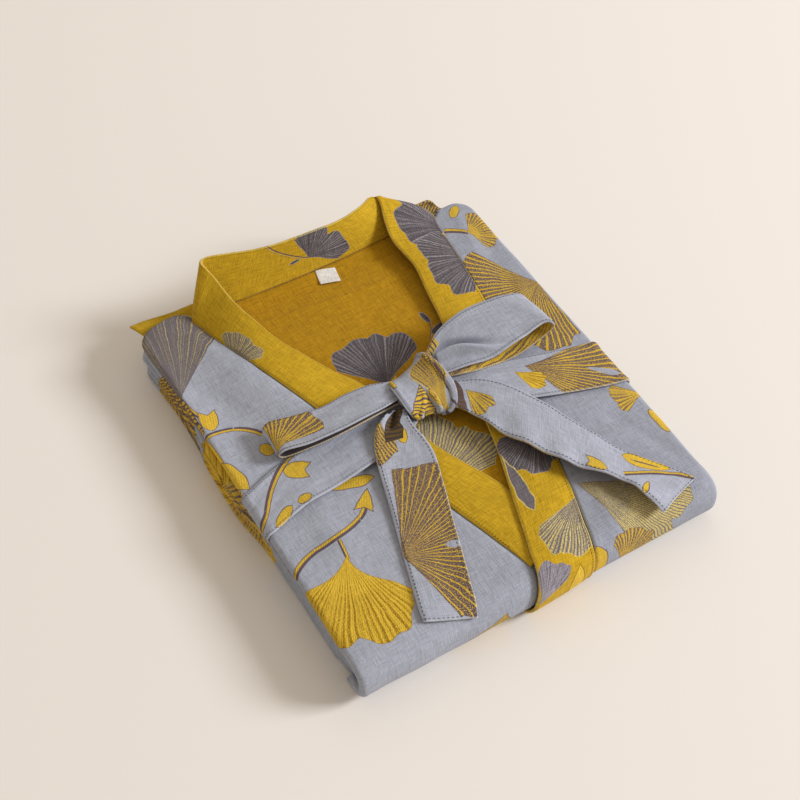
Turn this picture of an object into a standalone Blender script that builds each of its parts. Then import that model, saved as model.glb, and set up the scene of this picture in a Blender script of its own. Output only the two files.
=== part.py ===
# A kimono robe folded into a flat stack and tied with its own sash.
# Metres, Z up. It lies face up, with the neck towards +Y and the bottom fold towards -Y.
# Left and right are the wearer's, so the right front is at -X and the left front laps over it.

import math

import bmesh
import bpy
from mathutils import Matrix, Vector

# Driving sizes
STACK_WIDTH = 0.320
STACK_LENGTH = 0.360
STACK_HEIGHT = 0.0410  # top face of the right front at the sides
CROWN = 0.0015  # how much the middle swells above the sides
LEFT_FRONT_RISE = 0.0022  # the left front lies higher, over the right one
CLOTH = 0.0015  # two-layer gauze
BAND = 0.0026  # the collar band, folded double
BAND_WIDTH = 0.048
SASH = 0.0018  # the sash, two layers sewn together
SLEEVE = 0.0024  # a folded sleeve edge
LABEL = 0.0008
GAP = 0.0003
ROLL = 0.0042  # outside radius of the folded edge of the top layer
CORNER = 0.012  # radius of the stack's back corners
TUCK = 0.008  # how far the top layer runs back under its folded edge
FRAME_SHIFT = Vector((0.0041, -0.0089, 0.0))  # puts the origin under the middle of the whole part

SHOULDER_X = 0.123  # where the back edge meets the collar
LEFT_DRAW = 0.0070  # the left side is folded in this much further than the right one
LEFT_DRAW_FROM = 0.118  # and draws in from here out

HALF_WIDTH = STACK_WIDTH / 2
HALF_LENGTH = STACK_LENGTH / 2
RIM_X = HALF_WIDTH - ROLL
RIM_Y = HALF_LENGTH - ROLL

# The bottom fold is one big turn of the cloth, from the top face down to the ground.
FOLD_REACH = 0.023
FOLD_START = -HALF_LENGTH + FOLD_REACH
FOLD_ARC = 0.0236  # length of cloth for each radian of the turn
FOLD_SQUARENESS = 0.8
FOLD_END = FOLD_START - math.pi * FOLD_ARC

# The folded edge of each front: along the back, round the corner, down the side
BACK_RUN = RIM_X - CORNER - SHOULDER_X
RIM_LENGTH = BACK_RUN + math.pi / 2 * CORNER + RIM_Y - CORNER - FOLD_END

# The line where the left front's collar edge crosses the right front: x at y = 0, and its slope.
WRAP_X = 0.0293
WRAP_SLOPE = 0.232
WRAP_RAMP = 0.030

# Seams between the collar and the fronts: v along the cloth, x
SEAM_RIGHT = (
    (0.1780, -0.1200),
    (-0.1660, -0.0090),
    (-0.1900, -0.0100),
    (FOLD_END, -0.0120),
)
SEAM_LEFT = (
    (0.1780, 0.1175),
    (0.1250, 0.1105),
    (0.0650, 0.1010),
    (-0.1090, 0.0580),
    (-0.1370, 0.0500),
    (-0.1650, 0.0410),
    (-0.1800, 0.0385),
    (-0.2140, 0.0365),
    (FOLD_END, 0.0365),
)
NECK_Y = 0.170  # the back neck seam at its middle
NECK_CURVE = 0.5  # how it bends back towards the shoulders, for each metre squared

# The collar, from the right front's lower end round the neck to the left front's:
# where it is sewn on and where its free edge lies (lifts are above the top face)
LAPEL_LIFT = 0.0010
COLLAR_RIGHT = (
    # seam v, free x, free v, free lift
    (-0.1630, -0.0010, -0.1610, 0.0008),
    (-0.1300, 0.0100, -0.1260, 0.0010),
    (-0.1000, 0.0125, -0.0980, 0.0012),
    (-0.0480, -0.0125, -0.0370, 0.0014),
    (0.0210, -0.0275, 0.0335, 0.0022),
    (0.0550, -0.0450, 0.0670, 0.0035),
    (0.0990, -0.0670, 0.1100, 0.0090),
    (0.1220, -0.0750, 0.1330, 0.0145),
    (0.1460, -0.0830, 0.1570, 0.0220),
    (0.1630, -0.0870, 0.1800, 0.0300),
)
COLLAR_NECK = (
    # seam x, seam v, seam lift, free x, free v, free lift, swell
    (-0.1150, 0.1702, -0.0012, -0.0902, 0.1905, 0.0330, 0.0020),
    (-0.1138, 0.1750, -0.0008, -0.0908, 0.1965, 0.0345, 0.0010),
    (-0.1100, 0.1774, 0.0000, -0.0878, 0.1998, 0.0355, 0.0),
    (-0.1010, 0.1764, 0.0003, -0.0790, 0.1980, 0.0360, -0.0010),
    (-0.0740, 0.1727, 0.0003, -0.0500, 0.1870, 0.0366, -0.0010),
    (-0.0380, 0.1707, 0.0003, -0.0240, 0.1805, 0.0375, 0.0),
    (0.0000, 0.1700, 0.0003, 0.0030, 0.1780, 0.0380, 0.0),
    (0.0400, 0.1708, 0.0003, 0.0260, 0.1790, 0.0362, 0.0),
    (0.0730, 0.1727, 0.0003, 0.0470, 0.1860, 0.0338, -0.0020),
    (0.0980, 0.1766, 0.0003, 0.0590, 0.1925, 0.0310, -0.0035),
    (0.1080, 0.1790, 0.0003, 0.0660, 0.1975, 0.0290, -0.0010),
    (0.1142, 0.1772, -0.0004, 0.0718, 0.1976, 0.0266, 0.0024),
    (0.1158, 0.1710, -0.0010, 0.0726, 0.1908, 0.0230, 0.0032),
)
COLLAR_LEFT = (
    # seam v, free x, free v, free lift
    (0.1610, 0.0678, 0.1740, 0.0190),
    (0.1480, 0.0655, 0.1570, 0.0130),
    (0.1240, 0.0685, 0.1270, 0.0080),
    (0.0940, 0.0625, 0.0950, 0.0055),
    (0.0620, 0.0560, 0.0615, 0.0050),
    (0.0000, 0.0408, 0.0000, 0.0045),
    (-0.0650, 0.0255, -0.0635, 0.0045),
    (-0.1100, 0.0085, -0.1140, 0.0046),
    (-0.1370, 0.0000, -0.1400, 0.0050),
    (-0.1640, -0.0080, -0.1620, 0.0052),
    (-0.1790, -0.0125, -0.1770, 0.0048),
    (-0.1980, -0.0175, -0.1980, 0.0042),
    (-0.2140, -0.0205, -0.2140, 0.0038),
)
LAPEL_SWELL = 0.0012

# Inside of the back, seen in the neck: y, left end x, right end x. It runs on under both lapels.
BACK_ROWS = (
    (-0.1120, 0.0040, 0.0200),
    (-0.0950, -0.0020, 0.0240),
    (-0.0600, -0.0140, 0.0380),
    (0.0000, -0.0300, 0.0510),
    (0.0600, -0.0520, 0.0650),
    (0.1100, -0.0780, 0.0780),
    (0.1480, -0.0980, 0.0900),
    (NECK_Y, -0.1060, 0.1000),
)
BACK_DEPTH = 0.0030  # its face below the top face
BED_MARGIN = 0.0020

# The layers under the top one, from the top down: share of the height, and how far each fold
# stands out past the rim at the right side, the left side and the back
LOWER_LAYERS = (
    (0.36, 0.0080, 0.0045, 0.0030),
    (0.30, 0.0048, 0.0066, 0.0058),
    (0.34, 0.0070, 0.0050, 0.0036),
)
LAYER_VALLEY = 0.0005
SLEEVE_ROOM = 0.0030  # the groove is this much deeper at the back, where the sleeves lie in it
CORE_INSET = 0.010  # depth of the groove under the top layer

# The sash round the stack: x, middle y, half width, lift of its outer face
SASH_HALF = 0.0222
SASH_RIGHT = (
    (-0.0040, -0.0020, 0.0190, 0.0052),
    (-0.0350, -0.0050, 0.0205, 0.0054),
    (-0.0700, -0.0095, 0.0222, 0.0054),
    (-0.1000, -0.0120, 0.0226, 0.0036),
    (-0.1300, -0.0155, 0.0222, 0.0028),
    (-RIM_X, -0.0235, 0.0212, GAP + SASH),
)
SASH_LEFT = (
    (0.0040, -0.0040, 0.0190, 0.0056),
    (0.0400, -0.0105, 0.0205, 0.0076),
    (0.0700, -0.0185, 0.0222, 0.0056),
    (0.1000, -0.0270, 0.0232, 0.0036),
    (0.1300, -0.0345, 0.0238, 0.0028),
    (RIM_X, -0.0385, 0.0238, GAP + SASH),
)
SASH_TUCK = 0.006

# The bow: both edges of each stretch, back or left edge first (x, y, z, x, y, z)
LOOP_RIGHT = (
    (-0.0180, 0.0220, 0.0600, -0.0192, 0.0035, 0.0600),
    (-0.0330, 0.0285, 0.0592, -0.0345, 0.0012, 0.0612),
    (-0.0520, 0.0320, 0.0565, -0.0540, 0.0000, 0.0622),
    (-0.0740, 0.0315, 0.0550, -0.0780, 0.0000, 0.0615),
    (-0.0970, 0.0365, 0.0540, -0.1000, 0.0028, 0.0590),
    (-0.1150, 0.0410, 0.0534, -0.1170, 0.0080, 0.0560),
    (-0.1215, 0.0385, 0.0494, -0.1225, 0.0092, 0.0510),
    (-0.1150, 0.0390, 0.0456, -0.1170, 0.0085, 0.0460),
    (-0.0960, 0.0350, 0.0474, -0.1000, 0.0035, 0.0478),
    (-0.0700, 0.0290, 0.0486, -0.0750, 0.0000, 0.0488),
    (-0.0450, 0.0250, 0.0488, -0.0480, 0.0015, 0.0494),
    (-0.0188, 0.0190, 0.0505, -0.0198, 0.0040, 0.0510),
)
LOOP_LEFT = (
    (0.0222, 0.0240, 0.0605, 0.0226, 0.0070, 0.0590),
    (0.0400, 0.0380, 0.0680, 0.0420, 0.0040, 0.0602),
    (0.0640, 0.0450, 0.0725, 0.0650, 0.0005, 0.0600),
    (0.0900, 0.0440, 0.0745, 0.0920, 0.0010, 0.0660),
    (0.1080, 0.0400, 0.0742, 0.1130, 0.0020, 0.0715),
    (0.1145, 0.0380, 0.0710, 0.1210, -0.0025, 0.0700),
    (0.1140, 0.0365, 0.0650, 0.1185, -0.0020, 0.0635),
    (0.1010, 0.0330, 0.0570, 0.1100, -0.0010, 0.0570),
    (0.0800, 0.0280, 0.0530, 0.0830, 0.0000, 0.0542),
    (0.0500, 0.0230, 0.0528, 0.0520, 0.0025, 0.0540),
    (0.0224, 0.0170, 0.0540, 0.0226, 0.0075, 0.0545),
)
# The tails: both edges, left edge first (x, v, lift, x, v, lift)
TAIL_RIGHT = (
    (-0.0340, -0.0010, 0.0125, -0.0190, -0.0020, 0.0140),
    (-0.0500, -0.0100, 0.0112, -0.0212, -0.0200, 0.0130),
    (-0.0610, -0.0300, 0.0086, -0.0190, -0.0440, 0.0090),
    (-0.0720, -0.0670, 0.0040, -0.0275, -0.0750, 0.0058),
    (-0.0840, -0.1050, 0.0026, -0.0395, -0.1100, 0.0036),
    (-0.0940, -0.1370, 0.0026, -0.0510, -0.1440, 0.0028),
    (-0.1015, -0.1620, 0.0030, -0.0640, -0.1780, 0.0034),
)
TAIL_LEFT = (
    (0.0226, 0.0024, 0.0136, 0.0145, -0.0205, 0.0126),
    (0.0450, -0.0070, 0.0124, 0.0265, -0.0410, 0.0118),
    (0.0620, -0.0240, 0.0112, 0.0345, -0.0680, 0.0130),
    (0.0790, -0.0530, 0.0078, 0.0490, -0.0960, 0.0146),
    (0.0930, -0.0860, 0.0046, 0.0640, -0.1190, 0.0142),
    (0.1060, -0.1160, 0.0026, 0.0840, -0.1430, 0.0132),
    (0.1300, -0.1490, 0.0022, 0.0920, -0.1600, 0.0110),
    (0.1390, -0.1630, 0.0026, 0.0970, -0.1740, 0.0098),
)
TAIL_WAVE = 0.0014

KNOT_CENTRE = Vector((0.0015, 0.0080, 0.0602))
KNOT_HALF = Vector((0.0196, 0.0290, 0.0118))
KNOT_TURN = math.radians(-9)
KNOT_SQUARENESS = 0.72

# Across the left sleeve's edge, from inside the stack: y where it lies flat, y and rise where it curls
SLEEVE_CURL = (
    (0.1675, 0.1675, 0.0),
    (0.1740, 0.1790, 0.0),
    (0.1785, 0.1850, 0.0006),
    (0.1825, 0.1890, 0.0030),
    (0.1860, 0.1905, 0.0065),
    (0.1890, 0.1900, 0.0100),
)

LABEL_CENTRE = (0.0040, 0.1605)
LABEL_SIZE = (0.0160, 0.0120)
LABEL_TURN = math.radians(-14)

# Colours of the cloth's two faces
SLATE = (0.30, 0.32, 0.37, 1.0)
MUSTARD = (0.48, 0.30, 0.02, 1.0)
WHITE = (0.85, 0.84, 0.80, 1.0)


def mix(a, b, share):
    return a + (b - a) * share


def ease(low, high, value):
    """0 below low, 1 above high, and a smooth climb between them."""
    share = min(max((value - low) / (high - low), 0.0), 1.0)
    return share * share * (3.0 - 2.0 * share)


def signed_power(value, power):
    return math.copysign(abs(value) ** power, value)


def look_up(rows, key):
    """The second column where the falling first column passes key."""
    for (k0, x0), (k1, x1) in zip(rows, rows[1:]):
        if key >= k1:
            return mix(x0, x1, (k0 - key) / (k0 - k1))
    return rows[-1][1]


def smooth_rows(rows, count):
    """Count + 1 rows along a smooth curve through the given ones, column by column."""
    spans = len(rows) - 1
    result = []
    for i in range(count + 1):
        place = spans * i / count
        k = min(int(place), spans - 1)
        t = place - k
        near = (rows[max(k - 1, 0)], rows[k], rows[k + 1], rows[min(k + 2, spans)])
        result.append([
            b + 0.5 * t * (c - a + t * (2 * a - 5 * b + 4 * c - d + t * (3 * (b - c) + d - a)))
            for a, b, c, d in zip(*near)
        ])
    return result


# The top face and the bottom fold

def stack_height(x, y):
    """Height of the stack's swelling top, without the left front's overlap."""
    across = max(1.0 - (x / HALF_WIDTH) ** 2, 0.0)
    along = max(1.0 - (y / HALF_LENGTH) ** 2, 0.0)
    return STACK_HEIGHT + CROWN * across * along


def top_height(x, y):
    """Height of the fronts' outer face."""
    past_wrap = x - (WRAP_X + WRAP_SLOPE * y)
    rise = ease(0.0, WRAP_RAMP, past_wrap) * (1.0 - 0.75 * ease(0.090, RIM_X, x))
    return stack_height(x, y) + LEFT_FRONT_RISE * rise


def face_point(x, v):
    """The outer face at x. v is y on top, and runs on round the bottom fold."""
    if v >= FOLD_START:
        return Vector((x, v, top_height(x, v)))
    angle = min((FOLD_START - v) / FOLD_ARC, math.pi)
    height = top_height(x, FOLD_START)
    y = FOLD_START - FOLD_REACH * signed_power(math.sin(angle), FOLD_SQUARENESS)
    z = height / 2 * (1.0 + signed_power(math.cos(angle), FOLD_SQUARENESS))
    return Vector((x, y, z))


def face_frame(x, v):
    """The outer face at x, v: its point, the way along +v, and the way out."""
    step = 0.0005
    across = face_point(x + step, v) - face_point(x - step, v)
    along = (face_point(x, v + step) - face_point(x, v - step)).normalized()
    return face_point(x, v), along, across.cross(along).normalized()


def lifted(x, v, lift):
    point, _, normal = face_frame(x, v)
    return point + normal * lift


def drawn_in(points):
    """The points with the stack's left side moved in."""
    return [
        Vector((p.x - LEFT_DRAW * ease(LEFT_DRAW_FROM, RIM_X, p.x), p.y, p.z))
        for p in points
    ]


def rolled_edge(x, v, out_x, out_v, lift, steps, tuck):
    """Points from a rim point over the folded edge and back under it."""
    point, along, normal = face_frame(x, v)
    outward = Vector((1, 0, 0)) * out_x + along * out_v
    centre = point - normal * ROLL
    points = []
    for k in range(1, steps + 1):
        angle = math.pi * k / steps
        points.append(centre + (outward * math.sin(angle) + normal * math.cos(angle)) * (ROLL + lift))
    points.append(points[-1] - outward * tuck)
    return points


# Building blocks

def new_material(name, color, roughness):
    material = bpy.data.materials.new(name)
    material.use_nodes = True
    shader = material.node_tree.nodes["Principled BSDF"]
    shader.inputs["Base Color"].default_value = color
    shader.inputs["Roughness"].default_value = roughness
    shader.inputs["Metallic"].default_value = 0.0
    material.diffuse_color = color
    return material


def new_object(name, mesh, collection, material=None):
    obj = bpy.data.objects.new(name, mesh)
    collection.objects.link(obj)
    if material:
        mesh.materials.append(material)
    mesh.shade_smooth()
    return obj


def grid_mesh(name, rows, flip):
    """A sheet of quads through rows of points."""
    width = len(rows[0])
    points = [point for row in rows for point in row]
    faces = []
    for i in range(len(rows) - 1):
        for j in range(width - 1):
            a = i * width + j
            face = (a, a + width, a + width + 1, a + 1)
            faces.append(face[::-1] if flip else face)
    mesh = bpy.data.meshes.new(name)
    mesh.from_pydata(points, [], faces)
    return mesh


def cloth(name, rows, thickness, color, flip=False, offset=-1.0):
    """A sheet whose rows are its outer face, or its inner one with an offset of 1."""
    material = new_material(name, color, 0.9)
    obj = new_object(name, grid_mesh(name, rows, flip), ROBE, material)
    wall = obj.modifiers.new("Thickness", "SOLIDIFY")
    wall.thickness = thickness
    wall.offset = offset
    obj.parent = FRAME
    return obj


def bow_loop(name, table, along, across, flip=False):
    """A loop of sash, open towards the knot."""
    rows = []
    for values in smooth_rows(table, along):
        back, front = Vector(values[:3]), Vector(values[3:])
        rows.append([back.lerp(front, j / across) for j in range(across + 1)])
    return cloth(name, rows, SASH, SLATE, flip)


def bow_tail(name, table, along, across, wave, flip=False):
    """A tail of sash laid over the front, with a few soft waves along one edge."""
    rows = []
    for i, values in enumerate(smooth_rows(table, along)):
        ripple = wave * math.sin(i * 1.9) * math.sin(math.pi * i / along)
        row = []
        for j in range(across + 1):
            share = j / across
            x, v, lift = (mix(a, b, share) for a, b in zip(values[:3], values[3:]))
            row.append(lifted(x, v, lift + ripple * share * share))
        rows.append(row)
    return cloth(name, rows, SASH, SLATE, flip)


def cutter_box(name, low, high):
    mesh = bpy.data.meshes.new(name)
    low, high = Vector(low), Vector(high)
    size = high - low
    bm = bmesh.new()
    place = Matrix.Translation((low + high) / 2) @ Matrix.Diagonal((size.x, size.y, size.z, 1.0))
    bmesh.ops.create_cube(bm, size=1.0, matrix=place)
    bm.to_mesh(mesh)
    bm.free()
    return new_cutter(name, mesh)


def new_cutter(name, mesh):
    obj = new_object(name, mesh, CUTTERS)
    obj.display_type = "WIRE"
    obj.hide_render = True
    obj.parent = FRAME
    return obj


def cut(obj, cutter):
    boolean = obj.modifiers.new(cutter.name, "BOOLEAN")
    boolean.operation = "DIFFERENCE"
    boolean.object = cutter


# The hidden layers

def layer_profile(x, y, out_x, out_y):
    """Down the side of the stack: the top layer's inner edge, the groove, then three folds."""
    top = top_height(x, y)
    inner = ROLL - CLOTH - 2 * GAP
    profile = []
    for k in range(5):
        angle = math.pi * k / 4
        profile.append((inner * math.sin(angle), top - ROLL + inner * math.cos(angle)))
    profile.append((-CORE_INSET, top - ROLL - inner))
    below = top - 2 * ROLL - 2 * GAP - SLEEVE_ROOM * ease(0.0, 0.35, out_y)
    profile.append((-CORE_INSET, below))
    level = below
    sway = 0.0008 * math.sin(37.0 * (x + 2.0 * y))
    for share, right_out, left_out, back_out in LOWER_LAYERS:
        thickness = below * share
        side_out = right_out if out_x < 0 else left_out
        out = side_out * out_x ** 2 + back_out * out_y ** 2 + sway
        for degrees in (60, 20, -20, -60):
            angle = math.radians(degrees)
            rise = math.sin(angle) / math.sin(math.radians(60))
            bulge = (math.cos(angle) - 0.5) * 2.0
            profile.append((mix(LAYER_VALLEY, out, bulge), level - thickness / 2 * (1.0 - rise)))
        level -= thickness
    return [Vector((x + out_x * out, y + out_y * out, z)) for out, z in profile]


def fold_profile(x, count):
    """Down the inside of the bottom fold."""
    points = []
    for k in range(count):
        v = FOLD_START - math.pi * FOLD_ARC * k / (count - 1)
        points.append(lifted(x, v, -CLOTH - 2 * GAP))
    return points


def core_stations():
    """Places round the core, seen from above: x, y, the way out, and share of the bottom fold."""
    stations = []
    side_steps, front_steps, back_steps, corner_steps = 14, 12, 12, 5
    front_bend = 0.010
    bend_length = 0.020
    front_x = RIM_X - front_bend - 0.0012
    for k in range(front_steps):
        stations.append((mix(-front_x, front_x, k / front_steps), FOLD_START, 0.0, -1.0, 1.0))
    for k in range(corner_steps):
        angle = math.pi / 2 * (1 - k / corner_steps)
        x = front_x + front_bend * math.cos(angle)
        y = FOLD_START + bend_length * (1 - math.sin(angle))
        share = ease(0.0, 1.0, 1 - k / corner_steps)
        stations.append((x, y, math.cos(angle), -math.sin(angle), share))
    low, high = FOLD_START + bend_length, RIM_Y - CORNER
    for k in range(side_steps):
        stations.append((RIM_X, mix(low, high, k / side_steps), 1.0, 0.0, 0.0))
    for k in range(corner_steps):
        angle = math.pi / 2 * k / corner_steps
        out = (math.cos(angle), math.sin(angle))
        stations.append((RIM_X - CORNER + CORNER * out[0], high + CORNER * out[1], *out, 0.0))
    for k in range(back_steps):
        x = mix(RIM_X - CORNER, -RIM_X + CORNER, k / back_steps)
        stations.append((x, RIM_Y, 0.0, 1.0, 0.0))
    for k in range(corner_steps):
        angle = math.pi / 2 * (1 + k / corner_steps)
        out = (math.cos(angle), math.sin(angle))
        stations.append((-RIM_X + CORNER + CORNER * out[0], high + CORNER * out[1], *out, 0.0))
    for k in range(side_steps):
        stations.append((-RIM_X, mix(high, low, k / side_steps), -1.0, 0.0, 0.0))
    for k in range(corner_steps):
        angle = math.pi / 2 * k / corner_steps
        x = -front_x - front_bend * math.cos(angle)
        y = FOLD_START + bend_length * (1 - math.sin(angle))
        share = ease(0.0, 1.0, k / corner_steps)
        stations.append((x, y, -math.cos(angle), -math.sin(angle), share))
    return stations


def folded_layers():
    """All the hidden cloth as one rounded solid, layered at its sides and back."""
    stations = core_stations()
    sides = []
    for x, y, out_x, out_y, share in stations:
        layers = layer_profile(x, y, out_x, out_y)
        fold = fold_profile(x, len(layers))
        sides.append([a.lerp(b, share) for a, b in zip(layers, fold)])
    rings = []
    for scale in (0.12, 0.30, 0.48, 0.64, 0.78, 0.90, 0.97):
        ring = []
        for x, y, *_ in stations:
            dip = CLOTH + GAP + 0.0005 * (1.0 - scale ** 8)
            ring.append(Vector((x * scale, y * scale, top_height(x * scale, y * scale) - dip)))
        rings.append(ring)
    rings.extend([side[k] for side in sides] for k in range(len(sides[0])))
    for scale in (0.90, 0.45):
        rings.append([Vector((x * scale, y * scale, 0.0)) for x, y, *_ in stations])
    count = len(stations)
    points = drawn_in(point for ring in rings for point in ring)
    top_centre = len(points)
    points.append(Vector((0, 0, top_height(0, 0) - CLOTH - 3 * GAP)))
    points.append(Vector((0, 0, 0)))
    faces = []
    for r in range(len(rings) - 1):
        for k in range(count):
            a, b = r * count + k, r * count + (k + 1) % count
            faces.append((a, a + count, b + count, b))
    last = (len(rings) - 1) * count
    for k in range(count):
        after = (k + 1) % count
        faces.append((top_centre, k, after))
        faces.append((top_centre + 1, last + after, last + k))
    mesh = bpy.data.meshes.new("folded_layers")
    mesh.from_pydata(points, [], faces)
    obj = new_object("folded_layers", mesh, ROBE, new_material("folded_layers", SLATE, 0.9))
    obj.parent = FRAME
    return obj


# The pieces that show

def rim_point(side, share):
    """The top layer's edge from the shoulder, round the back corner and down the side."""
    place = share * RIM_LENGTH - BACK_RUN
    if place <= 0.0:
        return side * (RIM_X - CORNER + place), RIM_Y, 0.0, 1.0
    angle = min(place / CORNER, math.pi / 2)
    out_x, out_y = side * math.sin(angle), math.cos(angle)
    x = side * (RIM_X - CORNER) + CORNER * out_x
    past = max(place - math.pi / 2 * CORNER, 0.0)
    return x, RIM_Y - CORNER + CORNER * out_y - past, out_x, out_y


def rim_share(v):
    """How far along the rim the side reaches v."""
    return 1.0 - (v - FOLD_END) / RIM_LENGTH


def front_panel(name, side, seam):
    """One front: from its seam with the collar over the folded edge, and round the bottom fold."""
    across, turn = 6, 5
    seam_top = 0.170
    corner_start, corner_end = BACK_RUN / RIM_LENGTH, (BACK_RUN + math.pi / 2 * CORNER) / RIM_LENGTH
    stops = ((0.0, 2), (corner_start, 5), (corner_end, 20), (rim_share(FOLD_START), 17), (1.0, 0))
    shares = [1.0]
    for (low, steps), (high, _) in zip(stops, stops[1:]):
        shares.extend(mix(low, high, i / steps) for i in range(steps))
    rows = []
    for share in sorted(shares):
        rim_x, rim_v, out_x, out_v = rim_point(side, share)
        seam_v = mix(seam_top, FOLD_END, share)
        seam_x = look_up(seam, seam_v) + side * GAP / 2
        row = [
            face_point(mix(seam_x, rim_x, k / across), mix(seam_v, rim_v, k / across))
            for k in range(across + 1)
        ]
        tuck = mix(0.001, TUCK, ease(FOLD_START, FOLD_START + 0.03, rim_v))
        row.extend(rolled_edge(rim_x, rim_v, out_x, out_v, 0.0, turn, tuck))
        rows.append(drawn_in(row))
    return cloth(name, rows, CLOTH, SLATE, flip=side < 0)


def neck_line(x):
    return NECK_Y + NECK_CURVE * x * x


def collar_table():
    """Every row of the collar: seam x, v, lift, free edge x, v, lift, and swell between them."""
    table = []
    for seam_v, free_x, free_v, free_lift in COLLAR_RIGHT:
        lean = 1.5 * BAND * (free_lift - LAPEL_LIFT) / BAND_WIDTH
        seam_x = look_up(SEAM_RIGHT, seam_v) + GAP + lean
        seam = (seam_x, seam_v, LAPEL_LIFT - BAND)
        table.append((*seam, free_x, free_v, free_lift - BAND, LAPEL_SWELL))
    table.extend(COLLAR_NECK)
    for seam_v, free_x, free_v, free_lift in COLLAR_LEFT:
        lean = 1.5 * BAND * (free_lift - LAPEL_LIFT) / BAND_WIDTH
        seam_x = look_up(SEAM_LEFT, seam_v) - GAP - lean
        seam = (seam_x, seam_v, LAPEL_LIFT - BAND)
        table.append((*seam, free_x, free_v, free_lift - BAND, LAPEL_SWELL))
    return table


def collar():
    """One long band, sewn round the neck and down both fronts."""
    along, across = 90, 6
    rows = []
    for values in smooth_rows(collar_table(), along):
        row = []
        for k in range(across + 1):
            share = k / across
            x, v, lift = (mix(a, b, share) for a, b in zip(values[:3], values[3:6]))
            row.append(lifted(x, v, lift + values[6] * math.sin(math.pi * share)))
        rows.append(row)
    return cloth("collar", rows, BAND, MUSTARD, flip=True, offset=1.0)


def back_rows(along, across, margin, depth):
    rows = []
    for y, left, right in smooth_rows(BACK_ROWS, along):
        row = []
        for k in range(across + 1):
            x = mix(left - margin, right + margin, k / across)
            reach = ease(0.0, NECK_Y, y) * (neck_line(x) - NECK_Y) - BAND - GAP
            end = margin * ease(NECK_Y - 0.02, NECK_Y, y) - margin * ease(-0.095, -0.112, y)
            row.append(Vector((x, y + reach + end, stack_height(x, y) - depth)))
        rows.append(row)
    return rows


def back_body():
    return cloth("back_body", back_rows(16, 8, 0.0, BACK_DEPTH), CLOTH, MUSTARD, flip=True)


def back_bed():
    """Room in the hidden layers for the back where it lies in the neck opening."""
    rows = back_rows(8, 4, BED_MARGIN, BACK_DEPTH + CLOTH + GAP + 0.0002)
    obj = new_cutter("back_bed", grid_mesh("back_bed", rows, True))
    wall = obj.modifiers.new("Depth", "SOLIDIFY")
    wall.thickness = 0.02
    wall.offset = 1.0
    return obj


def sleeve_right():
    """The folded right sleeve's edge, flat behind the shoulder."""
    level = STACK_HEIGHT - 2 * ROLL - GAP
    rows = []
    for i in range(11):
        row = []
        for k in range(5):
            x = mix(mix(-0.1470, -0.1585, k / 4), -0.0600, i / 10)
            row.append(Vector((x, mix(0.1675, 0.1985 - 0.0030 * i / 10, k / 4), level)))
        rows.append(row)
    return cloth("sleeve_right", rows, SLEEVE, MUSTARD)


def sleeve_left():
    """The folded left sleeve's edge, which curls up behind the shoulder."""
    rows = []
    for i in range(13):
        share = i / 12
        curl = ease(0.0, 0.3, share) * ease(1.0, 0.7, share)
        back = 0.0040 * ease(0.7, 1.0, share)
        x = mix(0.0760, 0.1390, share)
        level = top_height(x, RIM_Y) - 2 * ROLL - 2 * GAP
        rows.append(drawn_in(
            Vector((x, mix(flat_y, curled_y, curl) - back * k / 5, level + rise * curl))
            for k, (flat_y, curled_y, rise) in enumerate(SLEEVE_CURL)
        ))
    return cloth("sleeve_left", rows, SLEEVE, SLATE)


def sash_stretch(name, side, table, flip):
    """The sash from under the knot to the side, over the folded edge and in under it."""
    along, across = 12, 4
    rows = []
    for x, middle, half, lift in smooth_rows(table, along):
        row = []
        for k in range(across + 1):
            y = mix(middle + half, middle - half, k / across)
            row.append(lifted(x, y, lift))
        rows.append(row)
    x, middle, half, lift = table[-1]
    turns = [
        rolled_edge(x, mix(middle + half, middle - half, k / across), side, 0.0, lift, 6, SASH_TUCK)
        for k in range(across + 1)
    ]
    rows.extend([list(row) for row in zip(*turns)])
    return cloth(name, [drawn_in(row) for row in rows], SASH, SLATE, flip)


def sash_bed(name, side, table):
    """Room under the folded edge for the sash."""
    x, middle, half, lift = table[-1]
    top = top_height(x, middle) - 2 * ROLL
    draw = LEFT_DRAW if side > 0 else 0.0
    ends = sorted((side * (RIM_X - SASH_TUCK - 0.002) - draw, side * (RIM_X + 0.02) - draw))
    low = (ends[0], middle - half - 0.001, top - 2 * GAP - SASH - 0.0004)
    high = (ends[1], middle + half + 0.001, top + GAP)
    return cutter_box(name, low, high)


def sash_knot():
    """The knot, longer up and down than across, flat where it sits on the sash."""
    mesh = bpy.data.meshes.new("sash_knot")
    bm = bmesh.new()
    bmesh.ops.create_uvsphere(bm, u_segments=24, v_segments=14, radius=1.0)
    turn = Matrix.Rotation(KNOT_TURN, 3, "Z")
    for vert in bm.verts:
        flat = math.hypot(vert.co.x, vert.co.y)
        angle = math.atan2(vert.co.y, vert.co.x)
        ring = signed_power(flat, KNOT_SQUARENESS)
        x = ring * signed_power(math.cos(angle), KNOT_SQUARENESS)
        y = ring * signed_power(math.sin(angle), KNOT_SQUARENESS)
        waist = 1.0 - 0.10 * ease(0.3, 1.0, abs(y))
        ridge = 1.0 + 0.05 * math.cos(9.0 * x) * (1.0 - abs(y))
        z = signed_power(vert.co.z, KNOT_SQUARENESS) * ridge
        local = Vector((x * waist * KNOT_HALF.x, y * KNOT_HALF.y, z * KNOT_HALF.z))
        vert.co = KNOT_CENTRE + turn @ local
    bm.to_mesh(mesh)
    bm.free()
    obj = new_object("sash_knot", mesh, ROBE, new_material("sash_knot", SLATE, 0.9))
    obj.parent = FRAME
    return obj


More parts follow.
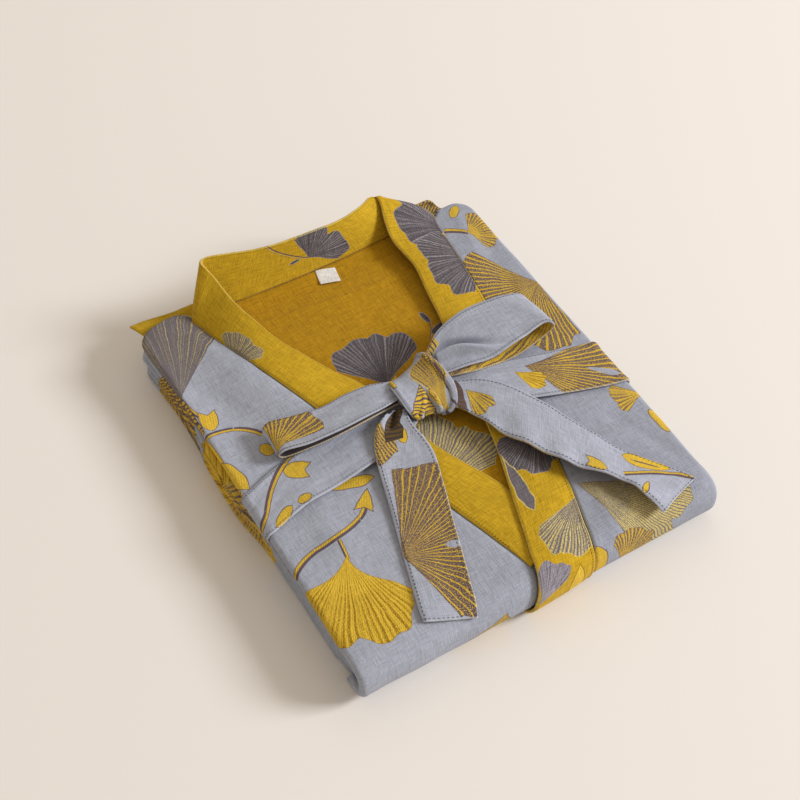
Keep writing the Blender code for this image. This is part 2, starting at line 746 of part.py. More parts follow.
def size_label():
    """A small woven label on the inside of the back neck."""
    turn = Matrix.Rotation(LABEL_TURN, 2)
    rows = []
    for i in range(4):
        row = []
        for j in range(5):
            local = Vector(((j / 4 - 0.5) * LABEL_SIZE[0], (i / 3 - 0.5) * LABEL_SIZE[1]))
            place = Vector(LABEL_CENTRE) + turn @ local
            lift = LABEL + GAP - BACK_DEPTH + 0.0006 * (1 - i / 3)
            row.append(Vector((*place, stack_height(*place) + lift)))
        rows.append(row)
    return cloth("size_label", rows, LABEL, WHITE, flip=True)


for old in list(bpy.data.objects):
    bpy.data.objects.remove(old)

ROBE = bpy.data.collections.new("kimono_robe")
CUTTERS = bpy.data.collections.new("cutters")
for group in (ROBE, CUTTERS):
    bpy.context.scene.collection.children.link(group)
FRAME = bpy.data.objects.new("robe_origin", None)
FRAME.location = FRAME_SHIFT
ROBE.objects.link(FRAME)

layers = folded_layers()
front_panel("front_right", -1, SEAM_RIGHT)
front_panel("front_left", 1, SEAM_LEFT)
back_body()
collar()
sleeve_right()
sleeve_left()
sash_stretch("sash_right", -1, SASH_RIGHT, False)
sash_stretch("sash_left", 1, SASH_LEFT, True)
sash_knot()
bow_loop("loop_right", LOOP_RIGHT, 36, 4)
bow_loop("loop_left", LOOP_LEFT, 36, 4, flip=True)
bow_tail("tail_right", TAIL_RIGHT, 20, 4, 0.0)
bow_tail("tail_left", TAIL_LEFT, 24, 5, TAIL_WAVE, flip=True)
size_label()

cut(layers, back_bed())
cut(layers, sash_bed("sash_bed_right", -1, SASH_RIGHT))
cut(layers, sash_bed("sash_bed_left", 1, SASH_LEFT))
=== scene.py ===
import math
from functools import partial
from types import SimpleNamespace
import bmesh
import bpy
from mathutils import Matrix, Vector, noise


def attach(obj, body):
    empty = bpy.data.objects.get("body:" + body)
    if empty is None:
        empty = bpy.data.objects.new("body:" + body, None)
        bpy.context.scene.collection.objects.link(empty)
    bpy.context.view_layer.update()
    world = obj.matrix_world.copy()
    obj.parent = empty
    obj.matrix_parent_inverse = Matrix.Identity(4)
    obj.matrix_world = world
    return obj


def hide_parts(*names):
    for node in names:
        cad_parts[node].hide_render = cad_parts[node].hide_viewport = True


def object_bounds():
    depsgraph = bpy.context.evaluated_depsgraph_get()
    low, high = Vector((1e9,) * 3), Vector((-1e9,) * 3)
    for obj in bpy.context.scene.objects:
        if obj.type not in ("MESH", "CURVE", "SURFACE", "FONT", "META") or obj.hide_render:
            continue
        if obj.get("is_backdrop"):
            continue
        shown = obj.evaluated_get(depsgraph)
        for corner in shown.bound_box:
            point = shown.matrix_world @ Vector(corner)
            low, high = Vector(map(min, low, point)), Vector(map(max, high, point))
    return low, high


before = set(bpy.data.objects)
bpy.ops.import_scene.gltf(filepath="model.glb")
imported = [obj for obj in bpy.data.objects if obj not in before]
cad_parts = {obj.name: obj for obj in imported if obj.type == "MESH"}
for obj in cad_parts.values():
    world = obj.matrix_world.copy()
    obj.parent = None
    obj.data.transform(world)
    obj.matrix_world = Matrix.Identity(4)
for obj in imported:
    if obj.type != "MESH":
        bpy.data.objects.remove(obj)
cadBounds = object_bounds()
print("frame loaded")

# Metres, in the stack's own frame: the neck is towards +y. shift takes it to the part's frame.
stack = {
    "shift": Vector((0.0041, -0.0089, 0.0)),
    "halfWidth": 0.160, "halfLength": 0.180, "height": 0.0410, "crown": 0.0015,
    "rise": 0.0022, "wrapX": 0.0293, "wrapSlope": 0.232, "wrapRamp": 0.030,
    "roll": 0.0042, "corner": 0.012, "rimX": 0.1558, "rimY": 0.1758, "shoulderX": 0.123,
    "foldReach": 0.023, "foldStart": -0.157, "foldArc": 0.0236, "square": 0.8,
    "drawIn": 0.0070, "drawFrom": 0.118, "pull": 0.0040,
}
stack["foldEnd"] = stack["foldStart"] - math.pi * stack["foldArc"]
stack["backRun"] = stack["rimX"] - stack["corner"] - stack["shoulderX"]
stack["rimLength"] = (stack["backRun"] + math.pi / 2 * stack["corner"]
                      + stack["rimY"] - stack["corner"] - stack["foldEnd"])

mm = 0.001


def inMetres(rows):
    # long tables are written in millimetres
    return [[value * mm for value in row] for row in rows]


# Soft ridges and troughs of the fronts: x0, y0, x1, y1, height, width
softCreases = inMetres((
    (-150, -52, -60, -40, 1.1, 6), (-150, 14, -75, 22, 0.9, 6), (-145, -70, -85, -120, -0.8, 9),
    (-120, 60, -150, 120, -0.8, 10), (-105, 90, -130, 165, 0.8, 8), (-110, -140, -20, -150, 0.7, 8),
    (-104, 125, -78, 30, 4, 24), (-140, 110, -130, 10, -3, 18), (-115, -20, -122, -90, 1.8, 12),
    (148, -72, 70, -55, 1, 6), (150, -4, 85, 6, 0.9, 7), (80, -95, 150, -105, 1.4, 7),
    (72, -120, 60, -175, 1.3, 5), (85, -135, 80, -178, -1, 5), (120, -85, 155, -150, -1, 8),
    (120, 50, 150, 130, -0.9, 10), (125, 110, 140, 170, 0.9, 7), (100, 20, 150, 75, 0.9, 7),
))


def mix(a, b, share):
    return a + (b - a) * share


def ease(low, high, value):
    share = min(max((value - low) / (high - low), 0.0), 1.0)
    return share * share * (3.0 - 2.0 * share)


def bell(value, middle, width):
    return math.exp(-((value - middle) / width) ** 2)


def bells(value, table):
    return sum(height * bell(value, middle, width) for height, middle, width in table)


def signedPower(value, power):
    return math.copysign(abs(value) ** power, value)


def lookUp(rows, key):
    for (k0, x0), (k1, x1) in zip(rows, rows[1:]):
        if key >= k1:
            return mix(x0, x1, (k0 - key) / (k0 - k1))
    return rows[-1][1]


def smoothRows(rows, count):
    spans = len(rows) - 1
    result = []
    for i in range(count + 1):
        place = spans * i / count
        k = min(int(place), spans - 1)
        t = place - k
        near = (rows[max(k - 1, 0)], rows[k], rows[k + 1], rows[min(k + 2, spans)])
        result.append([
            b + 0.5 * t * (c - a + t * (2 * a - 5 * b + 4 * c - d + t * (3 * (b - c) + d - a)))
            for a, b, c, d in zip(*near)
        ])
    return result


def creaseLift(x, y, creases):
    total = 0.0
    for x0, y0, x1, y1, height, width in creases:
        runX, runY = x1 - x0, y1 - y0
        length = runX * runX + runY * runY
        share = ((x - x0) * runX + (y - y0) * runY) / length
        if -0.3 < share < 1.3:
            away = abs((x - x0) * runY - (y - y0) * runX) / math.sqrt(length)
            if away < 3 * width:
                ends = ease(-0.3, 0.25, share) * ease(1.3, 0.75, share)
                total += height * ends * bell(away, 0.0, width)
    return total


def stackHeight(x, y):
    across = max(1.0 - (x / stack["halfWidth"]) ** 2, 0.0)
    along = max(1.0 - (y / stack["halfLength"]) ** 2, 0.0)
    return stack["height"] + stack["crown"] * across * along


def topHeight(x, y):
    pastWrap = x - (stack["wrapX"] + stack["wrapSlope"] * y)
    rise = ease(0.0, stack["wrapRamp"], pastWrap) * (1.0 - 0.75 * ease(0.090, stack["rimX"], x))
    return stackHeight(x, y) + stack["rise"] * rise


def facePoint(x, v):
    start = stack["foldStart"]
    if v >= start:
        return Vector((x, v, topHeight(x, v)))
    angle = min((start - v) / stack["foldArc"], math.pi)
    height = topHeight(x, start)
    y = start - stack["foldReach"] * signedPower(math.sin(angle), stack["square"])
    return Vector((x, y, height / 2 * (1.0 + signedPower(math.cos(angle), stack["square"]))))


def faceFrame(x, v):
    step = 0.0005
    across = facePoint(x + step, v) - facePoint(x - step, v)
    along = (facePoint(x, v + step) - facePoint(x, v - step)).normalized()
    return facePoint(x, v), along, across.cross(along).normalized()


def relief(x, v):
    # soft swells, troughs and creases of the top layers, as a lift along the face's normal
    swell = 0.0006 * noise.noise(Vector((x * 24, v * 24, 3.1)))
    swell += 0.00035 * noise.noise(Vector((x * 55, v * 55, 7.7)))
    low = ease(stack["foldEnd"], stack["foldEnd"] + 0.02, v)
    return (swell + creaseLift(x, v, softCreases)) * low


def lifted(x, v, lift):
    point, _, normal = faceFrame(x, v)
    return point + normal * (lift + relief(x, v) * ease(0.020, 0.008, lift))


def drawnIn(points, lean=0.0072):
    # the wearer's left side is folded in further, and the corner behind the right shoulder is pulled out
    result = []
    for p in points:
        pull = stack["pull"] * ease(-0.118, -0.150, p.x) * ease(0.120, 0.172, p.y)
        back = lean * ease(-0.112, -0.119, p.x) * ease(-0.154, -0.124, p.x) * ease(0.130, 0.172, p.y)
        draw = stack["drawIn"] * ease(stack["drawFrom"], stack["rimX"], p.x)
        rise = (0.3 * pull + 0.15 * back) * ease(0.0, 0.03, p.z)
        result.append(Vector((p.x - draw - 0.7 * pull, p.y + pull + back, p.z + rise)))
    return result


def rolledEdge(x, v, outX, outV, lift, steps, tuck):
    point, along, normal = faceFrame(x, v)
    outward = Vector((1, 0, 0)) * outX + along * outV
    centre = point - normal * stack["roll"]
    bulge = relief(x, v)
    points, arcs = [], []
    for k in range(1, steps + 1):
        angle = math.pi * k / steps
        radius = stack["roll"] + lift + bulge * (1.0 - k / steps)
        points.append(centre + (outward * math.sin(angle) + normal * math.cos(angle)) * radius)
        arcs.append(angle * stack["roll"])
    points.append(points[-1] - outward * tuck)
    arcs.append(arcs[-1] + tuck)
    return points, arcs


# Making pieces

def addObject(name, data):
    thing = bpy.data.objects.new(name, data)
    bpy.context.scene.collection.objects.link(thing)
    return thing


def placePiece(name, mesh, material, node):
    piece = addObject(name, mesh)
    mesh.materials.append(material)
    mesh.shade_smooth()
    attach(piece, "root")
    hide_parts(node)
    return piece


def gridMesh(name, rows, uvs, flip, closed=False):
    # quads through rows of points, with their places on the flat cloth in metres as the UV map
    wide = len(rows[0])
    points = [point + stack["shift"] for row in rows for point in row]
    flat = [uv for row in uvs for uv in row]
    faces = []
    for i in range(len(rows) - 1):
        for j in range(wide if closed else wide - 1):
            a, b = i * wide + j, i * wide + (j + 1) % wide
            face = (a, a + wide, b + wide, b)
            faces.append(face[::-1] if flip else face)
    mesh = bpy.data.meshes.new(name)
    mesh.from_pydata(points, [], faces)
    layer = mesh.uv_layers.new(name="cloth")
    shares = mesh.uv_layers.new(name="share")
    for loop in mesh.loops:
        layer.data[loop.index].uv = flat[loop.vertex_index]
        i, j = divmod(loop.vertex_index, wide)
        shares.data[loop.index].uv = (j / (wide - 1), i / (len(rows) - 1))
    return mesh


def clothPiece(name, rows, uvs, material, node, thickness, flip=False, offset=-1.0, smooth=1, reverse=None):
    piece = placePiece(name, gridMesh(name, rows, uvs, flip), material, node)
    wall = piece.modifiers.new("thickness", "SOLIDIFY")
    if reverse:
        piece.data.materials.append(reverse)
        wall.material_offset = 1
    wall.thickness = thickness
    wall.offset = offset
    if smooth:
        soften = piece.modifiers.new("soften", "SUBSURF")
        soften.levels = soften.render_levels = smooth
    return piece


def surface(along, across, pointAt):
    return [[pointAt(i / along, k / across) for k in range(across + 1)] for i in range(along + 1)]


def ribbonUvs(rows):
    # distance along and across a ribbon's rows
    uvs, travelled = [], 0.0
    middle = len(rows[0]) // 2
    for i, row in enumerate(rows):
        if i:
            travelled += (row[middle] - rows[i - 1][middle]).length
        across, line = 0.0, []
        for j, point in enumerate(row):
            if j:
                across += (point - row[j - 1]).length
            line.append((across, travelled))
        uvs.append(line)
    return uvs


# Shader building

def link(tree, value, socket):
    if isinstance(value, bpy.types.NodeSocket):
        tree.links.new(value, socket)
    elif value is not None:
        socket.default_value = value


def maths(tree, operation, a, b=None, c=None):
    node = tree.nodes.new("ShaderNodeMath")
    node.operation = operation
    for value, socket in zip((a, b, c), node.inputs):
        link(tree, value, socket)
    return node.outputs[0]


def vectorMaths(tree, operation, a, b=None):
    node = tree.nodes.new("ShaderNodeVectorMath")
    node.operation = operation
    link(tree, a, node.inputs[0])
    link(tree, b, node.inputs[1])
    return node.outputs["Value" if operation in {"LENGTH", "DOT_PRODUCT"} else "Vector"]


def step(tree, value, low, high):
    # 0 at low, 1 at high, smooth between
    node = tree.nodes.new("ShaderNodeMapRange")
    node.interpolation_type = "SMOOTHSTEP"
    for v, socket in zip((value, low, high), node.inputs):
        link(tree, v, socket)
    return node.outputs[0]


def mixColor(tree, share, a, b):
    node = tree.nodes.new("ShaderNodeMix")
    node.data_type = "RGBA"
    link(tree, share, node.inputs[0])
    link(tree, a, node.inputs[6])
    link(tree, b, node.inputs[7])
    return node.outputs[2]


def noiseValue(tree, vector, scale, detail=2.0, roughness=0.5):
    node = tree.nodes.new("ShaderNodeTexNoise")
    link(tree, vector, node.inputs["Vector"])
    node.inputs["Scale"].default_value = scale
    node.inputs["Detail"].default_value = detail
    node.inputs["Roughness"].default_value = roughness
    return node.outputs[0]


def stretched(tree, vector, x, y):
    node = tree.nodes.new("ShaderNodeMapping")
    link(tree, vector, node.inputs[0])
    node.inputs["Scale"].default_value = (x, y, 1.0)
    return node.outputs[0]


def splitVector(tree, vector):
    node = tree.nodes.new("ShaderNodeSeparateXYZ")
    tree.links.new(vector, node.inputs[0])
    return node.outputs


# Short names for the nodes that one tree is built from
operations = {
    "times": "MULTIPLY", "plus": "ADD", "minus": "SUBTRACT", "over": "DIVIDE", "timesPlus": "MULTIPLY_ADD",
    "most": "MAXIMUM", "least": "MINIMUM", "unsigned": "ABSOLUTE", "pingpong": "PINGPONG", "sine": "SINE",
    "sign": "SIGN", "power": "POWER", "angle": "ARCTAN2",
}
builders = {
    "vector": vectorMaths, "step": step, "mix": mixColor, "noise": noiseValue, "stretched": stretched,
    "split": splitVector,
}


def wiring(tree):
    short = {name: partial(maths, tree, operation) for name, operation in operations.items()}
    short.update((name, partial(build, tree)) for name, build in builders.items())
    return SimpleNamespace(**short)


def newGroup(name, inputs):
    # inputs: a value's default, or None for a place
    group = bpy.data.node_groups.new(name, "ShaderNodeTree")
    for title, default in inputs.items():
        kind = "NodeSocketVector" if default is None else "NodeSocketFloat"
        socket = group.interface.new_socket(name=title, in_out="INPUT", socket_type=kind)
        if default is not None:
            socket.default_value = default
    return group, wiring(group), list(group.nodes.new("NodeGroupInput").outputs)[:len(inputs)]


def closeGroup(group, **values):
    for title in values:
        group.interface.new_socket(name=title, in_out="OUTPUT", socket_type="NodeSocketFloat")
    out = group.nodes.new("NodeGroupOutput").inputs
    for title, value in values.items():
        group.links.new(value, out[title])
    return group


def slubWeaveGroup():
    # two layers of gauze: slub threads both ways, a fine weave, small puckers and the figure's hatch
    group, w, (uv,) = newGroup("slubWeave", {"Vector": None})
    warp = w.noise(w.stretched(uv, 1500.0, 90.0), 1.0, 3.0, 0.65)
    weft = w.noise(w.stretched(uv, 90.0, 1500.0), 1.0, 3.0, 0.65)
    thick = w.noise(w.stretched(uv, 40.0, 900.0), 1.0, 2.0, 0.5)
    thin = w.noise(w.stretched(uv, 900.0, 40.0), 1.0, 2.0, 0.5)
    fine = w.plus(warp, weft)
    coarse = w.plus(thick, thin)
    both = w.timesPlus(coarse, 0.35, fine)
    pucker = w.noise(w.stretched(uv, 230.0, 170.0), 1.0, 3.0, 0.6)
    parts = w.split(uv)
    slant = w.timesPlus(parts[1], -0.60, parts[0])
    ticks = w.pingpong(w.times(slant, 700.0), 0.5)
    ticks = w.timesPlus(w.noise(uv, 900.0, 1.0), 0.5, ticks)
    return closeGroup(
        group, Tone=w.minus(both, 1.35), Height=w.timesPlus(pucker, 1.5, both),
        Mottle=w.noise(uv, 24.0, 3.0, 0.6), Hatch=w.step(ticks, 0.42, 0.66),
        Cloud=w.noise(uv, 7.0, 2.0, 0.5), Bend=w.minus(w.noise(uv, 60.0, 1.0), 0.5),
        Grain=w.noise(uv, 1150.0, 1.0))


def ginkgoGroup():
    # one fan-shaped leaf: its body, its forked ribs and the line round it
    group, w, given = newGroup("ginkgoLeaf", {
        "Vector": None, "Bend": 0.0, "Grain": 0.5, "Apex": None, "Turn": 0.0, "Size": 0.05, "Spread": 0.9,
        "Ribs": 9.0, "Notch": 0.3, "Stripe": 0.5, "Waist": 0.4, "Heart": 0.0, "Round": 0.16})
    vector, bend, grain, apex, turn, size, spread, ribs, notchDepth, ribWidth, waist, heart, rounding = given
    away = w.vector("SUBTRACT", vector, apex)
    rotate = group.nodes.new("ShaderNodeVectorRotate")
    rotate.rotation_type = "Z_AXIS"
    group.links.new(away, rotate.inputs["Vector"])
    group.links.new(w.times(turn, -1.0), rotate.inputs["Angle"])
    parts = w.split(rotate.outputs[0])
    share = w.over(w.vector("LENGTH", away), size)
    angle = w.angle(parts[0], parts[1])
    angle = w.timesPlus(w.times(bend, share), 0.09, angle)
    side = w.unsigned(angle)
    across = w.over(side, spread)
    own = w.times(size, 911.0)
    lobes = w.sine(w.timesPlus(angle, 5.0, own))
    lobes = w.plus(w.unsigned(lobes), w.times(w.sine(w.times(angle, 17.0)), 0.22))
    reach = w.timesPlus(lobes, 0.075, 0.92)
    notch = w.times(w.step(across, 0.13, 0.0), notchDepth)
    reach = w.minus(reach, notch)
    shoulder = w.times(w.step(across, 0.60, 1.05), rounding)
    reach = w.minus(reach, shoulder)
    reach = w.timesPlus(bend, 0.12, reach)
    inside = w.minus(reach, share)
    pinch = w.times(w.step(share, 0.60, 0.0), waist)
    flare = w.minus(1.0, pinch)
    within = w.minus(w.times(spread, flare), side)
    within = w.times(within, share)
    soft = w.over(0.0005, size)
    body = w.times(w.step(inside, 0.0, soft), w.step(within, 0.0, soft))
    beat = w.times(w.over(angle, spread), ribs)
    uneven = group.nodes.new("ShaderNodeTexNoise")
    uneven.noise_dimensions = "1D"
    uneven.inputs["Scale"].default_value = 1.3
    group.links.new(w.plus(beat, own), uneven.inputs["W"])
    stripe = w.timesPlus(uneven.outputs[0], 1.2, -0.6)
    stripe = w.times(w.plus(ribWidth, stripe), 0.5)
    stripe = w.timesPlus(w.step(share, 0.55, 0.05), heart, stripe)
    main = w.pingpong(beat, 0.5)
    forks = w.pingpong(w.timesPlus(beat, 2.0, 0.5), 0.5)
    low = w.minus(stripe, 0.07)
    rib = w.step(main, stripe, low)
    fork = w.step(forks, w.times(stripe, 0.8), w.times(low, 0.8))
    rib = w.most(rib, w.times(fork, w.step(share, 0.40, 0.50)))
    rib = w.times(rib, w.step(grain, 0.32, 0.50))
    line = w.over(0.0012, size)
    rim = w.most(w.step(inside, line, 0.0), w.step(within, line, 0.0))
    return closeGroup(group, Body=body, Rib=rib, Rim=rim)


def leafletGroup():
    # a bud or leaflet from one place to another, with a cleft end where Cleft is above 0
    group, w, (vector, bend, start, finish, base, tip, cleft, bands) = newGroup("leaflet", {
        "Vector": None, "Bend": 0.0, "Start": None, "End": None, "Base": 0.3, "Tip": 0.3, "Cleft": 0.0,
        "Bands": 0.0})
    run = w.vector("SUBTRACT", finish, start)
    away = w.vector("SUBTRACT", vector, start)
    length = w.vector("LENGTH", run)
    square = w.times(length, length)
    along = w.over(w.vector("DOT_PRODUCT", away, run), square)
    turned = w.split(w.vector("CROSS_PRODUCT", run, away))[2]
    off = w.unsigned(w.over(turned, square))
    off = w.timesPlus(bend, 0.10, off)
    held = w.least(w.most(along, 0.0), 1.0)
    wide = w.timesPlus(w.minus(tip, base), held, base)
    blunt = w.minus(w.timesPlus(cleft, -2.0, 1.0), bands)
    centred = w.least(w.timesPlus(along, 2.0, -1.0), w.most(blunt, 0.0))
    taper = w.minus(1.0, w.power(w.unsigned(centred), 3.2))
    wide = w.times(wide, w.most(taper, 0.001))
    sideways = w.minus(wide, off)
    cut = w.minus(1.0, w.over(off, w.most(tip, 0.01)))
    cut = w.times(w.most(cut, 0.0), cleft)
    end = w.minus(w.minus(1.0, cut), along)
    inside = w.least(sideways, w.least(end, along))
    body = w.step(inside, 0.0, w.over(0.0005, length))
    line = w.over(0.0013, length)
    rim = w.step(inside, line, w.times(line, 0.5))
    beat = w.times(w.timesPlus(bend, 0.3, along), bands)
    band = w.step(w.pingpong(beat, 0.5), 0.24, 0.16)
    return closeGroup(group, Body=body, Rim=rim, Rib=w.times(band, w.least(bands, 1.0)))


def stemGroup():
    # a stem from one place to another, bowed a little, with dark lines along its sides
    group, w, (vector, start, finish, bow, width) = newGroup("leafStem", {
        "Vector": None, "Start": None, "End": None, "Bow": 0.0, "Width": 0.0016})
    run = w.vector("SUBTRACT", finish, start)
    away = w.vector("SUBTRACT", vector, start)
    length = w.vector("LENGTH", run)
    share = w.over(w.vector("DOT_PRODUCT", away, run), w.times(length, length))
    turned = w.split(w.vector("CROSS_PRODUCT", run, away))[2]
    offset = w.over(turned, length)
    held = w.least(w.most(share, 0.0), 1.0)
    arch = w.times(held, w.minus(1.0, held))
    arch = w.times(arch, w.times(bow, 4.0))
    offset = w.minus(offset, arch)
    ends = w.times(w.step(share, -0.01, 0.01), w.step(share, 1.01, 0.99))
    offset = w.times(offset, w.sign(width))
    half = w.unsigned(width)
    side = w.unsigned(offset)
    body = w.step(side, half, w.times(half, 0.85))
    shade = w.step(side, w.times(half, 0.62), w.times(half, 0.78))
    shade = w.most(shade, w.step(offset, w.times(half, 0.05), w.times(half, -0.20)))
    return closeGroup(group, Stem=w.times(body, ends), Shade=shade)


groups = {"weave": slubWeaveGroup(), "leaf": ginkgoGroup(), "leaflet": leafletGroup(), "stem": stemGroup()}

inks = {
    # the second ink is the slate cloth made darker for the wearer's left front: painted shade, not a cloth
    # of its own
    "slate": (0.345, 0.366, 0.436), "shadedSlate": (0.305, 0.323, 0.388), "haze": (0.365, 0.386, 0.460),
    "edge": (0.500, 0.510, 0.570), "white": (0.800, 0.790, 0.760), "mustard": (0.500, 0.312, 0.015),
    # the second ink here is the mustard cloth made darker and redder: painted shade for the back inside the
    # neck
    "ochre": (0.400, 0.213, 0.007), "gold": (0.270, 0.150, 0.008), "yellow": (0.720, 0.480, 0.045),
    "straw": (0.620, 0.500, 0.170), "plum": (0.115, 0.082, 0.100), "ash": (0.074, 0.064, 0.072),
    "mist": (0.158, 0.146, 0.168), "pale": (0.280, 0.255, 0.275), "lilac": (0.300, 0.280, 0.330),
    "umber": (0.120, 0.070, 0.022), "soot": (0.050, 0.042, 0.040),
}
inks = {name: (*color, 1.0) for name, color in inks.items()}
# A leaf's body, its ribs, the line round it, and how strong its weave's ticks are
leafStyles = {
    "yellow": ("yellow", "plum", "plum", 0.50), "gold": ("yellow", "gold", "gold", 0.28),
    "mist": ("mist", "straw", "plum", 0.30), "fawn": ("mist", "straw", "straw", 0.30),
    "ash": ("ash", "pale", "pale", 0.18), "lilac": ("lilac", "ash", "pale", 0.20),
    # the umber style is for the hollow at a tail's root: the reverse's brown stripes with painted shade in
    # its dark body
    "umber": ("umber", "soot", "soot", 0.30), "stipple": ("yellow", "plum", "straw", 0.62),
    "wine": ("plum", "umber", "plum", 0.20), "plum": ("plum", "pale", "plum", 0.20),
    "slate": ("slate", "slate", "slate", 0.00),
}


# The gauze: how uneven its color is, how its threads stand out, and the painted shade beside pressed edges
# (crease). Pairs are a factor and a base.
gauze = {
    "contrast": 0.42, "goldContrast": 0.60, "golds": ("mustard", "ochre"), "mottle": (0.20, 0.90),
    "cloud": (0.36, 0.82), "crease": (-0.22, 1.0), "grain": (0.9, 0.05), "figured": 1.06,
    "bumpStrength": 0.55, "bumpDistance": 0.0006,
}


def groupNode(tree, group, **values):
    node = tree.nodes.new("ShaderNodeGroup")
    node.node_tree = groups[group]
    for label, value in values.items():
        link(tree, value, node.inputs[label])
    return node.outputs


def ticked(tree, weave, style, share):
    # a figure's ink with the short dark ticks of its weave
    ink = inks[leafStyles[style][0]]
    dark = inks[{"ash": "pale", "stipple": "plum"}.get(style, "umber")]
    return mixColor(tree, maths(tree, "MULTIPLY", weave["Hatch"], share), ink, dark)


def newMaterial(name, **settings):
    material = bpy.data.materials.new(name)
    material.use_nodes = True
    shader = material.node_tree.nodes["Principled BSDF"]
    for title, value in settings.items():
        shader.inputs[title.replace("_", " ")].default_value = value
    return material, material.node_tree, shader


def figured(tree, uv, weave, color, leaves, leaflets, stems):
    # a cloth's color with its stems, leaves and leaflets laid over it
    w = wiring(tree)
    for u0, v0, u1, v1, bow, width in inMetres(stems):
        stem = groupNode(tree, "stem", Vector=uv, Start=(u0, v0, 0.0), End=(u1, v1, 0.0), Bow=bow,
                         Width=width)
        fill = w.mix(stem["Shade"], ticked(tree, weave, "yellow", 0.6), inks["plum"])
        color = w.mix(stem["Stem"], color, fill)
    for style, u, v, turn, size, spread, ribs, notch, stripe, *shape in leaves:
        waist, heart, rounding = (*shape, *(0.15, 0.0, 0.16)[len(shape):])
        leaf = groupNode(tree, "leaf", Vector=uv, Bend=weave["Bend"], Grain=weave["Grain"],
                         Apex=(u * mm, v * mm, 0.0), Turn=math.radians(turn), Size=size * mm,
                         Spread=math.radians(spread), Ribs=ribs, Notch=notch, Stripe=stripe, Waist=waist,
                         Heart=heart, Round=rounding)
        _, ribInk, rimInk, ticks = leafStyles[style]
        body = ticked(tree, weave, style, ticks)
        fill = w.mix(leaf["Rim"], w.mix(leaf["Rib"], body, inks[ribInk]), inks[rimInk])
        color = w.mix(leaf["Body"], color, fill)
    for style, u0, v0, u1, v1, base, tip, cleft, *bands in leaflets:
        leaf = groupNode(tree, "leaflet", Vector=uv, Bend=weave["Bend"], Start=(u0 * mm, v0 * mm, 0.0),
                         End=(u1 * mm, v1 * mm, 0.0), Base=base, Tip=tip, Cleft=cleft,
                         Bands=bands[0] if bands else 0.0)
        _, ribInk, rimInk, ticks = leafStyles[style]
        body = w.mix(leaf["Rib"], ticked(tree, weave, style, ticks), inks[ribInk])
        color = w.mix(leaf["Body"], color, w.mix(leaf["Rim"], body, inks[rimInk]))
    return color


def edged(tree, weave, color, rimInk, edge, end, turned):
    # a cloth's color with its pale pressed edges, and a painted shade along the crease beside them
    w = wiring(tree)
    shares = tree.nodes.new("ShaderNodeUVMap")
    shares.uv_map = "share"
    sides = w.split(shares.outputs[0])
    far = w.unsigned(w.minus(sides[0], 0.5))
    pale = w.step(far, 0.5 - edge, 0.5 - edge * 0.5)
    # painted shade: a band just inside each pale edge, later made darker
    creaseShade = w.times(w.step(far, 0.5 - edge * 2.2, 0.5 - edge * 1.7),
                      w.step(far, 0.5 - edge, 0.5 - edge * 1.4))
    if end:
        pale = w.most(pale, w.step(sides[1], 1.0 - end, 1.0 - end * 0.5))
    pale = w.times(pale, w.timesPlus(weave["Grain"], *gauze["grain"]))
    if turned:
        low, high = turned
        reverse = w.times(w.step(sides[1], low - 0.02, low + 0.02),
                          w.step(sides[1], high + 0.02, high - 0.02))
        reverse = w.times(reverse, w.step(sides[0], 0.4, 0.6))
        rimInk = w.mix(reverse, rimInk, ticked(tree, weave, "yellow", 0.8))
    return w.mix(pale, color, rimInk), w.timesPlus(creaseShade, *gauze["crease"])


def clothMaterial(name, ground, leaves=(), leaflets=(), stems=(), edge=None, end=None, turned=None):
    # slub gauze with its woven figures
    material, tree, shader = newMaterial(
        name, Roughness=0.9, Specular_IOR_Level=0.12, Sheen_Weight=0.06, Sheen_Roughness=0.5)
    w = wiring(tree)
    place = tree.nodes.new("ShaderNodeUVMap")
    place.uv_map = "cloth"
    uv = place.outputs[0]
    weave = groupNode(tree, "weave", Vector=uv)
    color = figured(tree, uv, weave, inks[ground], leaves, leaflets, stems)
    golden = ground in gauze["golds"]
    contrast = gauze["goldContrast" if golden else "contrast"]
    slub = w.step(weave["Tone"], -0.34, 0.34)
    lightness = w.timesPlus(slub, contrast, 1.0 - 0.5 * contrast)
    cloud = w.timesPlus(weave["Mottle"], *gauze["mottle"])
    cloud = w.times(cloud, w.timesPlus(weave["Cloud"], *gauze["cloud"]))
    lightness = w.times(lightness, cloud)
    lightness = w.times(lightness, gauze["figured"] if leaves or leaflets else 1.0)
    if edge:
        rimInk = inks["straw" if golden else "edge"]
        color, crease = edged(tree, weave, color, rimInk, edge, end, turned)
        # painted shade: darker in the band beside the pale edges
        lightness = w.times(lightness, crease)
    shaded = tree.nodes.new("ShaderNodeVectorMath")
    shaded.operation = "SCALE"
    link(tree, color if isinstance(color, bpy.types.NodeSocket) else color[:3], shaded.inputs[0])
    link(tree, lightness, shaded.inputs["Scale"])
    tree.links.new(shaded.outputs[0], shader.inputs["Base Color"])
    bump = tree.nodes.new("ShaderNodeBump")
    bump.inputs["Strength"].default_value = gauze["bumpStrength"]
    bump.inputs["Distance"].default_value = gauze["bumpDistance"]
    tree.links.new(weave["Height"], bump.inputs["Height"])
    tree.links.new(bump.outputs[0], shader.inputs["Normal"])
    return material


# The camera stands where the photograph was taken from.
view = {"heading": 0.5416078897691988, "down": 0.9084113325457649, "lens": 65.25,
        "place": Vector((-0.37368, -0.58563, 0.93975))}
studio = {
    "floorSize": 12.0, "floorColor": (0.84, 0.802, 0.757, 1.0), "skyColor": (1.0, 0.885, 0.745, 1.0),
    "skyStrength": 0.50,
}


